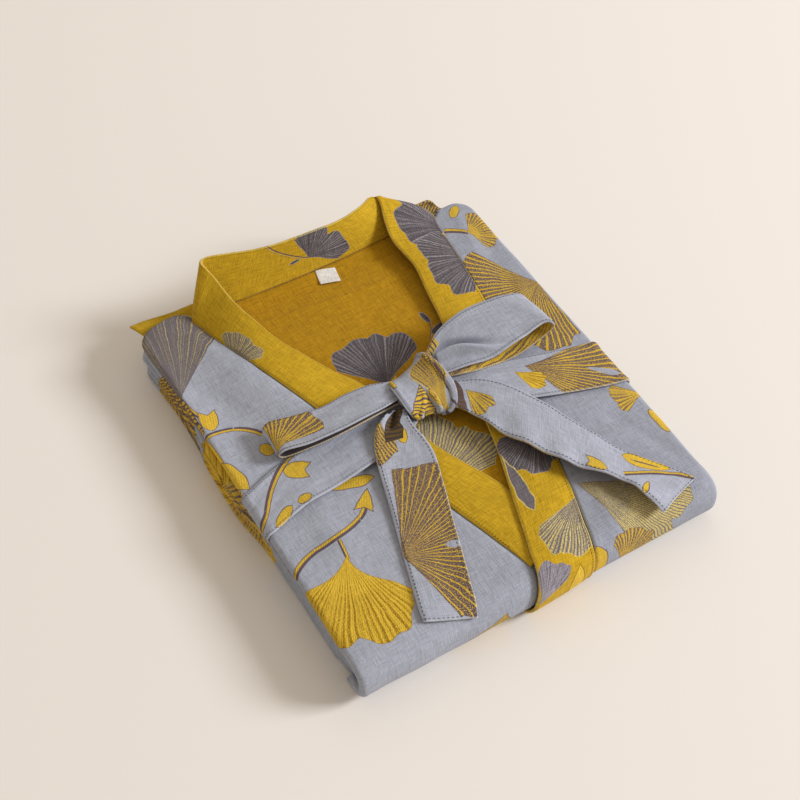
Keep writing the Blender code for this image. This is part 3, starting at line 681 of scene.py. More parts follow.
def addCamera():
    heading, down = view["heading"], view["down"]
    forward = Vector((math.sin(heading) * math.cos(down), math.cos(heading) * math.cos(down),
                      -math.sin(down)))
    right = Vector((math.cos(heading), -math.sin(heading), 0.0))
    upward = right.cross(forward)
    camera = addObject("camera", bpy.data.cameras.new("camera"))
    turned = Matrix((right, upward, -forward)).transposed().to_4x4()
    camera.matrix_world = Matrix.Translation(view["place"] + stack["shift"]) @ turned
    camera.data.lens = view["lens"]
    camera.data.sensor_width = 36.0
    bpy.context.scene.camera = camera


def addLight(name, place, target, size, power, color):
    data = bpy.data.lights.new(name, "AREA")
    data.size = size
    data.energy = power
    data.color = color
    light = addObject(name, data)
    light.location = place
    light.rotation_euler = (Vector(target) - Vector(place)).to_track_quat("-Z", "Y").to_euler()


def addFloor():
    bpy.ops.mesh.primitive_plane_add(size=studio["floorSize"], location=(0, 0, 0))
    floor = bpy.context.object
    floor.name = "floor"
    material = newMaterial("floor", Base_Color=studio["floorColor"], Roughness=0.75)[0]
    floor.data.materials.append(material)
    floor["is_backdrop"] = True


def addWorld():
    world = bpy.data.worlds.new("studio")
    world.use_nodes = True
    back = world.node_tree.nodes["Background"]
    back.inputs[0].default_value = studio["skyColor"]
    back.inputs[1].default_value = studio["skyStrength"]
    bpy.context.scene.world = world


addCamera()
addFloor()
addWorld()
addLight("window", (4.20, -2.27, 2.88), (0, 0, 0), 1.7, 279.0, (0.985, 0.995, 1.03))
addLight("fill", (0.6, 1.4, 1.9), (0, 0, 0), 2.0, 5.0, (1.0, 0.98, 0.96))
bpy.context.scene.view_settings.view_transform = "Standard"
print("camera, floor and light are in place")

# Seams between the collar and the fronts: v along the cloth, x
seams = {
    "right": ((0.1780, -0.1200), (-0.1660, -0.0090), (-0.1900, -0.0100), (stack["foldEnd"], -0.0120)),
    "left": ((0.1780, 0.1175), (0.1250, 0.1105), (0.0650, 0.1010), (-0.1090, 0.0580), (-0.1370, 0.0500),
             (-0.1650, 0.0410), (-0.1800, 0.0385), (-0.2140, 0.0365), (stack["foldEnd"], 0.0365)),
}


def rimPoint(side, share):
    place = share * stack["rimLength"] - stack["backRun"]
    inX, inY, corner = stack["rimX"] - stack["corner"], stack["rimY"] - stack["corner"], stack["corner"]
    if place <= 0.0:
        return side * (inX + place), stack["rimY"], 0.0, 1.0
    angle = min(place / corner, math.pi / 2)
    outX, outY = side * math.sin(angle), math.cos(angle)
    past = max(place - math.pi / 2 * corner, 0.0)
    return side * inX + corner * outX, inY + corner * outY - past, outX, outY


def frontPanel(name, node, side, seam, material):
    # a front from its collar seam over the folded edge, and round the bottom fold
    across, turn = 34, 9
    cornerStart = stack["backRun"] / stack["rimLength"]
    cornerEnd = (stack["backRun"] + math.pi / 2 * stack["corner"]) / stack["rimLength"]
    foldShare = 1.0 - (stack["foldStart"] - stack["foldEnd"]) / stack["rimLength"]
    stops = ((0.0, 5), (cornerStart, 9), (cornerEnd, 86), (foldShare, 34), (1.0, 0))
    shares = [mix(low, high, i / steps) for (low, steps), (high, _) in zip(stops, stops[1:])
              for i in range(steps)] + [1.0]
    rows, uvs = [], []
    for share in shares:
        rimX, rimV, outX, outV = rimPoint(side, share)
        seamV = mix(0.170, stack["foldEnd"], share)
        seamX = lookUp(seam, seamV) + side * (0.0002 - 0.0014 * ease(0.090, 0.160, seamV))
        row, line = [], []
        for k in range(across + 1):
            x, v = mix(seamX, rimX, k / across), mix(seamV, rimV, k / across)
            row.append(lifted(x, v, -0.0002 * ease(0.10, 0.0, k / across)))
            line.append((x, v))
        tuck = mix(0.001, 0.008, ease(stack["foldStart"], stack["foldStart"] + 0.03, rimV))
        points, arcs = rolledEdge(rimX, rimV, outX, outV, 0.0, turn, tuck)
        row.extend(points)
        line.extend((rimX + outX * arc, rimV + outV * arc) for arc in arcs)
        rows.append(drawnIn(row))
        uvs.append(line)
    piece = clothPiece(name, rows, uvs, material, node, 0.0013, flip=side < 0, smooth=0)


# The collar band: seam v, free x, free v, free lift of each lapel, then the neck between them
collar = {
    "band": 0.0026, "lift": 0.0010, "swell": 0.0014, "width": 0.048,
    "right": inMetres((
        (-163, -1, -161, 0.8), (-130, 10, -126, 1), (-100, 12.5, -98, 1.2), (-48, -12.5, -37, 1.4),
        (21, -27.5, 33.5, 2.2), (55, -45, 67, 3.5), (99, -67, 110, 9), (122, -75, 133, 14.5),
        (146, -83, 157, 22), (163, -87, 180, 30),
    )),
    "neck": inMetres((
        (-115, 170.2, -1.2, -90.2, 190.5, 33, 2), (-113.8, 175, -0.8, -90.8, 196.5, 34.5, 1),
        (-110, 177.4, 0, -87.8, 199.8, 35.5, 0), (-101, 176.4, 0.3, -79, 198, 36, -1),
        (-74, 172.7, 0.3, -50, 187, 36.6, -1), (-38, 170.7, 0.3, -24, 180.5, 37.5, 0),
        (0, 170, 0.3, 3, 178, 38, 0), (40, 170.8, 0.3, 26, 179, 36.2, 0),
        (73, 172.7, 0.3, 47, 186, 33.8, -2), (98, 176.6, 0.3, 59, 192.5, 31, -3.5),
        (108, 179, 0.3, 66, 197.5, 29, -1), (114.2, 177.2, -0.4, 71.8, 197.6, 26.6, 2.4),
        (115.8, 171, -1, 72.6, 190.8, 23, 3.2),
    )),
    "left": inMetres((
        (161, 67.8, 174, 19), (148, 65.5, 157, 13), (124, 68.5, 127, 8), (94, 62.5, 95, 5.5),
        (62, 56, 61.5, 5), (0, 40.8, 0, 4.5), (-65, 25.5, -63.5, 4.5), (-110, 8.5, -114, 4.6),
        (-137, 0, -140, 5), (-164, -8, -162, 5.2), (-179, -12.5, -177, 4.8), (-198, -17.5, -198, 4.2),
        (-214, -20.5, -214, 3.8),
    )),
}


def collarTable():
    table = []
    for part, side in (("right", 1), ("neck", 0), ("left", -1)):
        for values in collar[part]:
            if part == "neck":
                table.append(values)
                continue
            seamV, freeX, freeV, freeLift = values
            lean = 1.5 * collar["band"] * (freeLift - collar["lift"]) / collar["width"]
            seamX = lookUp(seams[part], seamV) + side * (0.0003 + lean)
            inner = collar["lift"] - collar["band"]
            table.append((seamX, seamV, inner, freeX, freeV, freeLift - collar["band"], collar["swell"]))
    return table


def collarBand(material):
    # one long folded band, sewn round the neck and down both fronts
    along, across = 330, 18
    rows, uvs = [], []
    travelled, before = 0.0, None
    for values in smoothRows(collarTable(), along):
        middle = Vector(((values[0] + values[3]) / 2, (values[1] + values[4]) / 2, 0.0))
        travelled += (middle - before).length if before else 0.0
        before = middle
        row = []
        for k in range(across + 1):
            share = k / across
            x, v, lift = (mix(a, b, share) for a, b in zip(values[:3], values[3:6]))
            edge = min(share, 1.0 - share)
            puff = values[6] * math.sin(math.pi * share)
            ripple = 0.0005 * noise.noise(Vector((travelled * 45, share * 2.2, 5.0))) * ease(0.0, 0.2, edge)
            row.append(lifted(x, v, lift + puff + ripple))
        rows.append(row)
        uvs.append([(k / across * collar["width"], travelled) for k in range(across + 1)])
    made["collarBand"] = rows
    piece = clothPiece("collarBand", rows, uvs, material, "collar", collar["band"], flip=True, offset=1.0)


# The inside of the back: y, left x and right x, and how it bows and lifts towards the neck
backPanel = {
    "thick": 0.0012, "neck": 0.170, "bow": 0.5, "inset": 0.0029, "reach": 0.0040, "sink": 0.0030,
    "lift": 0.0026, "swell": 0.0006,
    "rows": inMetres((
        (-112, 4, 20), (-95, -2, 24), (-60, -14, 38), (0, -30, 51), (60, -52, 65), (110, -78, 78),
        (148, -98, 90), (170, -106, 100),
    )),
    "creases": inMetres((
        (-60, 144, 85, 130, 1, 2.2), (-55, 90, -10, 20, -0.8, 8), (20, 110, 45, 50, 0.7, 8),
    )),
}


def backPoint(x, y):
    neck = backPanel["neck"]
    bow = ease(0.0, neck, y) * backPanel["bow"] * x * x
    reach = bow - backPanel["inset"] + backPanel["reach"] * ease(0.150, neck, y)
    swell = backPanel["swell"] * noise.noise(Vector((x * 30, y * 30, 11.0)))
    lift = swell + creaseLift(x, y, backPanel["creases"]) + backPanel["lift"] * ease(0.158, neck, y)
    return Vector((x, y + reach, stackHeight(x, y) - backPanel["sink"] + lift))


def backInside(material):
    # the inside of the back, seen in the neck
    along, across = 110, 60
    rows, uvs = [], []
    for y, left, right in smoothRows(backPanel["rows"], along):
        row, line = [], []
        for k in range(across + 1):
            x = mix(left, right, k / across)
            row.append(backPoint(x, y))
            line.append((x, y))
        rows.append(row)
        uvs.append(line)
    piece = clothPiece("backInside", rows, uvs, material, "back_body", backPanel["thick"], flip=True,
                       smooth=0)


# The layers under the top one: share of the height, how far each fold stands out at right, left, back
layers = {
    "folds": (
        (0.20, 0.0074, 0.0040, 0.0030), (0.16, 0.0086, 0.0052, 0.0040), (0.15, 0.0056, 0.0072, 0.0062),
        (0.15, 0.0046, 0.0060, 0.0054), (0.17, 0.0066, 0.0044, 0.0038), (0.17, 0.0074, 0.0056, 0.0034),
    ),
    "inset": 0.010, "valley": -0.0004, "sleeveRoom": 0.0030, "gap": 0.0003, "cloth": 0.0015,
    "frontBend": 0.010, "bendLength": 0.020, "lowSlack": 0.0056, "highSlack": 0.0032, "least": 0.0012,
    "degrees": (66, 44, 22, 0, -22, -44, -66), "under": (0.95, 0.8, 0.6, 0.35, 0.03), "ground": 0.0005,
    "meet": 0.4067, "cover": 0.0012, "sway": 0.0012, "wave": 0.0005,
}


def layerStations():
    # places round the lower layers, seen from above: x, y, the way out, share of the bottom fold
    rimX, rimY, corner = stack["rimX"], stack["rimY"], stack["corner"]
    bend, start = layers["frontBend"], stack["foldStart"]
    frontX = rimX - bend - layers["cover"]
    low, high = start + layers["bendLength"], rimY - corner
    half = [(mix(0.0, frontX, k / 40), start, 0.0, -1.0, 1.0) for k in range(40)]
    for k in range(14):
        angle = math.pi / 2 * (1 - k / 14)
        half.append((frontX + bend * math.cos(angle), start + layers["bendLength"] * (1 - math.sin(angle)),
                     math.cos(angle), -math.sin(angle), ease(0.0, 1.0, 1 - k / 14)))
    half.extend((rimX, mix(low, high, k / 96), 1.0, 0.0, 0.0) for k in range(96))
    for k in range(12):
        outX, outY = math.cos(math.pi / 2 * k / 12), math.sin(math.pi / 2 * k / 12)
        half.append((rimX - corner + corner * outX, high + corner * outY, outX, outY, 0.0))
    half.extend((mix(rimX - corner, 0.0, k / 48), rimY, 0.0, 1.0, 0.0) for k in range(49))
    return half + [(-x, y, -outX, outY, share) for x, y, outX, outY, share in half[-2::-1]]


def layerProfile(x, y, outX, outY, travelled):
    # down the side: inside the top layer's rolled edge, the groove under it, then the folds
    top, inner = topHeight(x, y), stack["roll"] - layers["cloth"] - 2 * layers["gap"]
    profile = [(inner * math.sin(math.pi * k / 4), top - stack["roll"] + inner * math.cos(math.pi * k / 4))
               for k in range(5)]
    below = top - 2 * stack["roll"] - 2 * layers["gap"] - layers["sleeveRoom"] * ease(0.0, 0.35, outY)
    profile.extend(((-layers["inset"], top - stack["roll"] - inner), (-layers["inset"], below)))
    level = below
    for n, (share, rightOut, leftOut, backOut) in enumerate(layers["folds"]):
        thickness = below * share
        sideOut = leftOut
        if outX < 0:
            slack = layers["lowSlack"] * ease(0.015, -0.040, y) + layers["highSlack"] * ease(0.055, 0.090, y)
            sideOut = max(rightOut - slack, layers["least"] - layers["gap"] * n)
        sway = layers["sway"] * noise.noise(Vector((travelled * 9, n * 3.3, 1.0)))
        out = sideOut * outX ** 2 + backOut * outY ** 2 + sway
        for degrees in layers["degrees"]:
            angle = math.radians(degrees)
            height = math.sin(angle) / math.sin(math.radians(layers["degrees"][0]))
            # 0 where two folds meet, 1 at the middle
            bulge = (math.cos(angle) - layers["meet"]) / (1.0 - layers["meet"])
            wave = layers["wave"] * noise.noise(
                Vector((travelled * 30, n * 5.1 + 0.8 * height, 4.0)))
            profile.append((mix(layers["valley"], out + wave, bulge),
                            level - thickness / 2 * (1.0 - height)))
        level -= thickness
    return [Vector((x + outX * out, y + outY * out, max(z, layers["ground"]))) for out, z in profile]


def lowerLayers(material):
    # the folded lower layers all round, with the flat underside
    rows, uvs = [], []
    travelled, before = 0.0, None
    for x, y, outX, outY, share in layerStations():
        travelled += math.hypot(x - before[0], y - before[1]) if before else 0.0
        before = (x, y)
        row = layerProfile(x, y, outX, outY, travelled)
        if share > 0.0:
            count = len(row) - 1
            places = [mix(stack["foldStart"], stack["foldEnd"], k / count) for k in range(count + 1)]
            row = [point.lerp(lifted(x, v, -0.0021), share) for point, v in zip(row, places)]
        row.extend(Vector((x * inner, y * inner, layers["ground"])) for inner in layers["under"])
        arc, line = 0.0, []
        for k, point in enumerate(row):
            arc += (point - row[k - 1]).length if k else 0.0
            line.append((travelled, arc))
        rows.append(drawnIn(row))
        uvs.append(line)
    piece = clothPiece("lowerLayers", rows, uvs, material, "folded_layers", 0.0009, flip=True, smooth=0)
    joined = bmesh.new()
    joined.from_mesh(piece.data)
    bmesh.ops.remove_doubles(joined, verts=joined.verts, dist=0.00001)
    joined.to_mesh(piece.data)
    joined.free()


# The sleeves' folded edges: the curl's rows are y when flat, y when curled, and rise
sleeves = {
    "thick": 0.0022, "outerX": (-0.1470, -0.1585), "innerX": -0.0600, "nearY": 0.1675, "farY": 0.1985,
    "slant": 0.0030, "puff": 0.0030, "droop": 0.0012, "leftX": (0.0760, 0.1390), "sweep": 0.0040,
    "curl": inMetres((
        (167.5, 167.5, 0), (174, 179, 0), (178.5, 185, 0.6), (182.5, 189, 3), (186, 190.5, 6.5),
        (189, 190, 10),
    )),
}


def sleeveRight(material):
    level = stack["height"] - 2 * stack["roll"] - 0.0003

    def pointAt(share, far):
        x = mix(mix(*sleeves["outerX"], far), sleeves["innerX"], share)
        y = mix(sleeves["nearY"], sleeves["farY"] - sleeves["slant"] * share, far)
        wave = 0.0005 * noise.noise(Vector((x * 40, y * 40, 2.0)))
        puff = sleeves["puff"] * ease(0.0, 0.5, share) * ease(0.2, 0.9, far)
        return Vector((x, y, level + wave + puff - sleeves["droop"] * ease(0.8, 1.0, far)))

    rows = [drawnIn(row, 0.0) for row in surface(40, 16, pointAt)]
    piece = clothPiece("sleeveRight", rows, ribbonUvs(rows), material, "sleeve_right", sleeves["thick"])


def sleeveLeft(material):
    rows = []
    profile = smoothRows(sleeves["curl"], 20)
    for i in range(41):
        share = i / 40
        curl = ease(0.0, 0.3, share) * ease(1.0, 0.7, share)
        x = mix(*sleeves["leftX"], share)
        level = topHeight(x, stack["rimY"]) - 2 * stack["roll"] - 0.0006
        wave = 0.0010 * noise.noise(Vector((x * 60, 0.0, 9.0)))
        back = sleeves["sweep"] * ease(0.7, 1.0, share)
        rows.append(drawnIn([
            Vector((x, mix(flatY, curledY, curl) - back * k / 20 + wave * k / 20, level + rise * curl))
            for k, (flatY, curledY, rise) in enumerate(profile)]))
    piece = clothPiece("sleeveLeft", rows, ribbonUvs(rows), material, "sleeve_left", sleeves["thick"])


# The sash: x, middle y, half width, lift of its outer face
sash = {
    "thick": 0.0018, "tuck": 0.006,
    "right": inMetres((
        (-4, 3, 12, 5.2), (-35, -5, 20.5, 5.4), (-70, -9.5, 22.2, 5.4), (-100, -12, 22.6, 3.6),
        (-130, -15.5, 22.2, 2.8), (-155.8, -23.5, 21.2, 2.1),
    )),
    "left": inMetres((
        (4, 2, 12, 5.6), (40, -10.5, 20.5, 7.6), (70, -18.5, 22.2, 5.6), (100, -27, 23.2, 3.6),
        (130, -34.5, 23.8, 2.8), (155.8, -38.5, 23.8, 2.1),
    )),
}


def hemSwell(share):
    # the seam allowance inside each long edge makes the sash a little thicker there
    edge = min(share, 1.0 - share)
    return 0.0005 * ease(0.0, 0.04, edge) * ease(0.20, 0.12, edge)


def sashStretch(name, node, side, table, material, flip):
    # round the stack from under the knot, over the folded edge and in under it
    along, across = 64, 24
    rows = []
    for x, middle, half, lift in smoothRows(table, along):
        row = []
        for k in range(across + 1):
            share = k / across
            y = mix(middle + half, middle - half, share)
            pull = 0.0009 * noise.noise(Vector((abs(x) * 16, share * 5, 21.0 + side)))
            row.append(lifted(x, y, lift + hemSwell(share) + pull * ease(0.0, 0.12, min(share, 1 - share))))
        rows.append(row)
    x, middle, half, lift = table[-1]
    turns = []
    for k in range(across + 1):
        share = k / across
        y = mix(middle + half, middle - half, share)
        turns.append(rolledEdge(x, y, side, 0.0, lift + hemSwell(share), 10, sash["tuck"])[0])
    rows.extend([list(row) for row in zip(*turns)])
    rows = [drawnIn(row) for row in rows]
    made[name] = rows
    piece = clothPiece(name, rows, ribbonUvs(rows), material, node, sash["thick"], flip)


loops = {
    "right": {"gathers": 0.0010, "swell": 0.0004, "fold": 0.0, "turn": inMetres((
        (-18, 22, 60, -19.2, 3.5, 60), (-33, 28.5, 59.2, -34.5, 1.2, 61.2), (-52, 32, 56.5, -54, 0, 62.2),
        (-74, 31.5, 55, -78, 0, 61.5), (-97, 36.5, 54, -100, 2.8, 59), (-115, 41, 53.4, -117, 8, 56),
        (-121.5, 38.5, 49.4, -122.5, 9.2, 51), (-115, 39, 45.6, -117, 8.5, 46),
        (-96, 35, 47.4, -100, 3.5, 50.5), (-70, 29, 48.6, -75, 0, 54), (-45, 25, 48.8, -48, 1.2, 54.8),
        (-18.8, 19, 50.5, -19.8, 3.6, 54),
    ))},
    "left": {"gathers": 0.0012, "swell": 0.0012, "fold": 0.0112, "turn": inMetres((
        (20.5, 31, 60.5, 22.6, 7, 59), (39, 43, 66.5, 42, 4, 60.2), (64, 46.8, 72.5, 65, 0.5, 60),
        (90, 44, 74.5, 92, 1, 66), (108, 40, 74.2, 113, 2, 71.5), (114.5, 38, 71, 121, -2.5, 70),
        (114, 36.5, 65, 118.5, -2, 63.5), (101, 33, 57, 110, -1, 57), (80, 28, 52.5, 83, -2, 50.6),
        (50, 23, 52.6, 52, 0.5, 52.6), (22.4, 17, 54, 22.6, 7.5, 54.5),
    ))},
}


def rowNormals(rows, flip):
    normals = []
    for i, row in enumerate(rows):
        above, under = rows[max(i - 1, 0)], rows[min(i + 1, len(rows) - 1)]
        line = []
        for j in range(len(row)):
            along = under[j] - above[j]
            across = row[min(j + 1, len(row) - 1)] - row[max(j - 1, 0)]
            normal = along.cross(across).normalized()
            line.append(-normal if flip else normal)
        normals.append(line)
    return normals


def bowLoop(name, node, side, material, reverse):
    # a loop of sash, gathered where it goes into the knot
    along, across = 150, 22
    pattern = loops[side]
    flip = side == "left"
    rows = []
    for values in smoothRows(pattern["turn"], along):
        back, front = Vector(values[:3]), Vector(values[3:])
        rows.append([back.lerp(front, j / across) for j in range(across + 1)])
    normals = rowNormals(rows, flip)
    for i, row in enumerate(rows):
        near = min(i, along - i) / along
        for j in range(across + 1):
            share = j / across
            pleat = pattern["gathers"] * math.exp(-near / 0.055) * math.cos(share * 19.0 + 3.0 * near)
            puff = pattern["swell"] * math.sin(math.pi * share) * ease(0.0, 0.15, near)
            ripple = 0.0008 * noise.noise(Vector((i * 0.06, share * 3.0, 31.0)))
            over = i / along
            valley = bell(share, 0.11 + 2.95 * over, 0.07) * ease(0.30, 0.12, over)
            ridge = bell(share, 0.40 + 1.9 * over, 0.10) * ease(0.34, 0.12, over)
            crease = pattern["fold"] * (0.9 * ridge - valley) * ease(0.0, 0.03, over)
            row[j] += normals[i][j] * (pleat + puff + ripple + hemSwell(share) + crease)
    made[name] = rows
    uvs = ribbonUvs(rows)
    piece = clothPiece(name, rows, uvs, material, node, sash["thick"], flip, reverse=reverse)


tails = {
    "right": {"wave": 0.0, "gathers": 0.0008, "hollow": 0.0050, "turn": inMetres((
        (-34, -1, 12.5, -19, -2, 14), (-50, -10, 11.2, -21.2, -20, 13), (-61, -30, 8.6, -19, -44, 9),
        (-72, -67, 4, -27.5, -75, 5.8), (-84, -105, 2.6, -39.5, -110, 3.6),
        (-94, -137, 2.6, -51, -144, 2.8), (-101.5, -162, 3, -64, -178, 3.4),
    ))},
    "left": {"wave": 0.0014, "gathers": 0.0008, "hollow": 0.0, "turn": inMetres((
        (22.6, 2.4, 13.6, 14.5, -20.5, 12.6), (45, -7, 12.4, 26.5, -41, 11.8),
        (62, -24, 11.2, 34.5, -68, 13), (79, -53, 7.8, 49, -96, 14.6), (93, -86, 4.6, 64, -119, 14.2),
        (106, -116, 2.6, 84, -143, 13.2), (130, -149, 2.2, 92, -160, 11), (139, -163, 2.6, 97, -174, 9.8),
    ))},
}


def bowTail(name, node, side, material):
    along, across = 110, 24
    pattern = tails[side]
    rows = []
    for i, values in enumerate(smoothRows(pattern["turn"], along)):
        place = i / along
        row = []
        for j in range(across + 1):
            share = j / across
            x, v, lift = (mix(a, b, share) for a, b in zip(values[:3], values[3:]))
            ripple = pattern["wave"] * math.sin(place * 41.0) * math.sin(math.pi * place) * share * share
            pleat = pattern["gathers"] * math.exp(-place / 0.10) * math.cos(share * 17.0 + 4.0 * place)
            soft = 0.0007 * noise.noise(Vector((place * 9.0, share * 2.5, 41.0)))
            reach = ease(0.0, 0.03, place) * ease(0.20, 0.12, place)
            dent = bell(share, 0.50 - 0.6 * place, 0.13) - 0.35 * ease(0.40, 0.15, share)
            dent *= pattern["hollow"]
            row.append(lifted(x, v, lift + ripple + pleat + soft + hemSwell(share) - dent * reach))
        rows.append(row)
    made[name] = rows
    uvs = ribbonUvs(rows)
    piece = clothPiece(name, rows, uvs, material, node, sash["thick"], side == "left")


# The knot's last turn, from behind over the top to the front: left x, y, z and right x, y, z
knot = {
    "turn": inMetres((
        (-16.5, 22.5, 50, 15, 33.5, 50), (-19.5, 21.5, 57, 17.2, 34.5, 59),
        (-21.4, 15, 62.2, 18.7, 29, 66.2), (-21.9, 6, 64, 20.8, 16, 69), (-21.7, -3, 62.8, 22.4, 2, 68),
        (-20.6, -9.5, 59.5, 22.9, -9.5, 63.5), (-18.4, -13.5, 55.3, 19.2, -19, 57),
        (-15.4, -14.5, 51, 14, -21.5, 51.2), (-12, -12, 47.5, 9, -18, 47.5),
    )),
    "arch": 0.0034, "thick": 0.0016, "core": 0.86, "pleat": 0.0019, "crease": 0.0022, "gather": 0.0005,
    "hem": ((0.0009, 0.985, 0.022), (-0.0015, 0.925, 0.018), (0.0006, 0.870, 0.022)),
    "leftHem": ((0.0006, 0.020, 0.020), (-0.0006, 0.065, 0.020)),
    "axis": (Vector((-0.0200, 0.0040, 0.0545)), Vector((0.0205, 0.0055, 0.0570))),
}


def knotRows(along, across):
    # the turn's rows, arched a little between its two edges
    rows = []
    for values in smoothRows(knot["turn"], along):
        left, right = Vector(values[:3]), Vector(values[3:])
        rows.append([left.lerp(right, k / across) for k in range(across + 1)])
    normals = rowNormals(rows, True)
    for i, row in enumerate(rows):
        for k in range(across + 1):
            row[k] += normals[i][k] * knot["arch"] * (1.0 - abs(2.0 * k / across - 1.0) ** 2.4)
    return rows


def knotWrap(material):
    # the last turn, with its doubled hem at one side and a pleat laid over at the other
    along, across = 120, 60
    rows = knotRows(along, across)
    normals = rowNormals(rows, True)
    for i, row in enumerate(rows):
        place = i / along
        low = ease(0.50, 0.85, place)
        right, left = mix(0.50, 0.60, low), mix(0.46, 0.16, low)  # the laid pleat's two sides
        opened = ease(0.48, 0.60, place)
        for k in range(across + 1):
            share = k / across
            pleat = ease(right + 0.02, right - 0.03, share) * ease(left - 0.03, left + 0.10, share)
            crease = bells(share, ((1.0, right + 0.045, 0.025), (0.6, left - 0.02, 0.020)))
            gather = math.cos(share * 40.0) * ease(0.55, 0.95, place)
            gather *= ease(0.60, 0.70, share) * ease(0.92, 0.84, share)
            lift = bells(share, knot["hem"]) + bells(share, knot["leftHem"]) + knot["gather"] * gather
            lift += opened * (knot["pleat"] * pleat - knot["crease"] * crease)
            lift += 0.0006 * noise.noise(Vector((share * 4.0, place * 5.0, 8.0)))
            row[k] += normals[i][k] * lift
    made["knotWrap"] = rows
    piece = clothPiece("knotWrap", rows, ribbonUvs(rows), material, "sash_knot", knot["thick"], True,
                       smooth=0)


def knotCore(material):
    # cloth gathered inside the knot, seen at its two sides and under it
    across, under = 40, 20
    base = knotRows(60, across)
    rows, uvs = [], []
    for k in range(across + 1):
        share = k / across
        axis = knot["axis"][0].lerp(knot["axis"][1], share)
        ends = abs(2.0 * share - 1.0)
        size = knot["core"] * (1.0 - 0.9 * ends ** 9)
        ring = [row[k] for row in base]
        ring.extend(ring[-1].lerp(ring[0], j / under) for j in range(1, under))
        row = []
        for j, point in enumerate(ring):
            folds = 1.0 + 0.05 * math.cos(j * 1.15) * ease(0.55, 0.85, ends)
            row.append(axis + (point - axis) * size * folds)
        rows.append(row)
        uvs.append([(0.0005 * j + 0.02, 0.001 * k) for j in range(len(row))])
    mesh = gridMesh("knotCore", rows, uvs, False, closed=True)
    joined = bmesh.new()
    joined.from_mesh(mesh)
    bmesh.ops.holes_fill(joined, edges=[e for e in joined.edges if e.is_boundary], sides=0)
    bmesh.ops.recalc_face_normals(joined, faces=joined.faces)
    joined.to_mesh(mesh)
    joined.free()
    piece = placePiece("knotCore", mesh, material, "sash_knot")


# Sewing: a curve on the cloth becomes a row of stitches

def stitchTree():
    tree = bpy.data.node_groups.new("stitchLine", "GeometryNodeTree")
    face = tree.interface
    face.new_socket(name="Seam", in_out="INPUT", socket_type="NodeSocketGeometry")
    for title, value in (("Pitch", 0.003), ("Length", 0.0022), ("Thickness", 0.0005)):
        face.new_socket(name=title, in_out="INPUT", socket_type="NodeSocketFloat").default_value = value
    face.new_socket(name="Thread", in_out="INPUT", socket_type="NodeSocketMaterial")
    face.new_socket(name="Stitches", in_out="OUTPUT", socket_type="NodeSocketGeometry")
    kinds = {"points": "CurveToPoints", "ball": "MeshUVSphere", "place": "InstanceOnPoints",
             "real": "RealizeInstances", "paint": "SetMaterial"}
    nodes = {title: tree.nodes.new("GeometryNode" + kind) for title, kind in kinds.items()}
    nodes.update(given=tree.nodes.new("NodeGroupInput"), size=tree.nodes.new("ShaderNodeCombineXYZ"),
                 out=tree.nodes.new("NodeGroupOutput"))
    nodes["points"].mode = "LENGTH"
    for title, value in (("Segments", 6), ("Rings", 4), ("Radius", 0.5)):
        nodes["ball"].inputs[title].default_value = value
    for start, output, end, socket in (
            ("given", "Seam", "points", "Curve"), ("given", "Pitch", "points", "Length"),
            ("given", "Thickness", "size", 0), ("given", "Thickness", "size", 1),
            ("given", "Length", "size", 2), ("points", "Points", "place", "Points"),
            ("points", "Rotation", "place", "Rotation"), ("ball", "Mesh", "place", "Instance"),
            ("size", 0, "place", "Scale"), ("place", 0, "real", 0), ("real", 0, "paint", "Geometry"),
            ("given", "Thread", "paint", "Material"), ("paint", 0, "out", 0)):
        tree.links.new(nodes[start].outputs[output], nodes[end].inputs[socket])
    return tree


def threadMaterial(name, color):
    material, tree, shader = newMaterial(name, Roughness=0.7, Sheen_Weight=0.1)
    place = tree.nodes.new("ShaderNodeTexCoord").outputs["Object"]
    twist = noiseValue(tree, place, 2600.0, 2.0, 0.6)
    tree.links.new(mixColor(tree, twist, color, tuple(0.55 * c for c in color[:3]) + (1.0,)),
                   shader.inputs["Base Color"])
    return material


def stitches(name, lines, thread, slot, pitch, length, thickness):
    curve = bpy.data.curves.new(name + "Seam", "CURVE")
    curve.dimensions = "3D"
    for points in lines:
        spline = curve.splines.new("POLY")
        spline.points.add(len(points) - 1)
        for target, point in zip(spline.points, points):
            target.co = (*(point + stack["shift"]), 1.0)
    seam = addObject(name + "Seam", curve)
    sewing = seam.modifiers.new("stitches", "NODES")
    sewing.node_group = stitchGroup
    values = {"Pitch": pitch, "Length": length, "Thickness": thickness, "Thread": thread}
    for item in stitchGroup.interface.items_tree:
        if item.name in values:
            sewing[item.identifier] = values[item.name]
    ready = bpy.context.evaluated_depsgraph_get()
    mesh = bpy.data.meshes.new_from_object(seam.evaluated_get(ready), depsgraph=ready)
    bpy.data.objects.remove(seam)
    piece = addObject(name, mesh)
    mesh.shade_smooth()
    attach(piece, "root")


def seamAlong(rows, share, lift, flip, low, high):
    # points just over a ribbon's outer face at a share of its width
    normals = rowNormals(rows, flip)
    result = []
    for i in range(int(low * (len(rows) - 1)), int(high * (len(rows) - 1)) + 1):
        place = share * (len(rows[i]) - 1)
        j = min(int(place), len(rows[i]) - 2)
        point = rows[i][j].lerp(rows[i][j + 1], place - j)
        result.append(point + normals[i][j] * lift)
    return result


stitchGroup = stitchTree()
made = {}

label = {"centre": Vector((0.0043, 0.1612)), "size": (0.0175, 0.0128), "turn": math.radians(-14)}


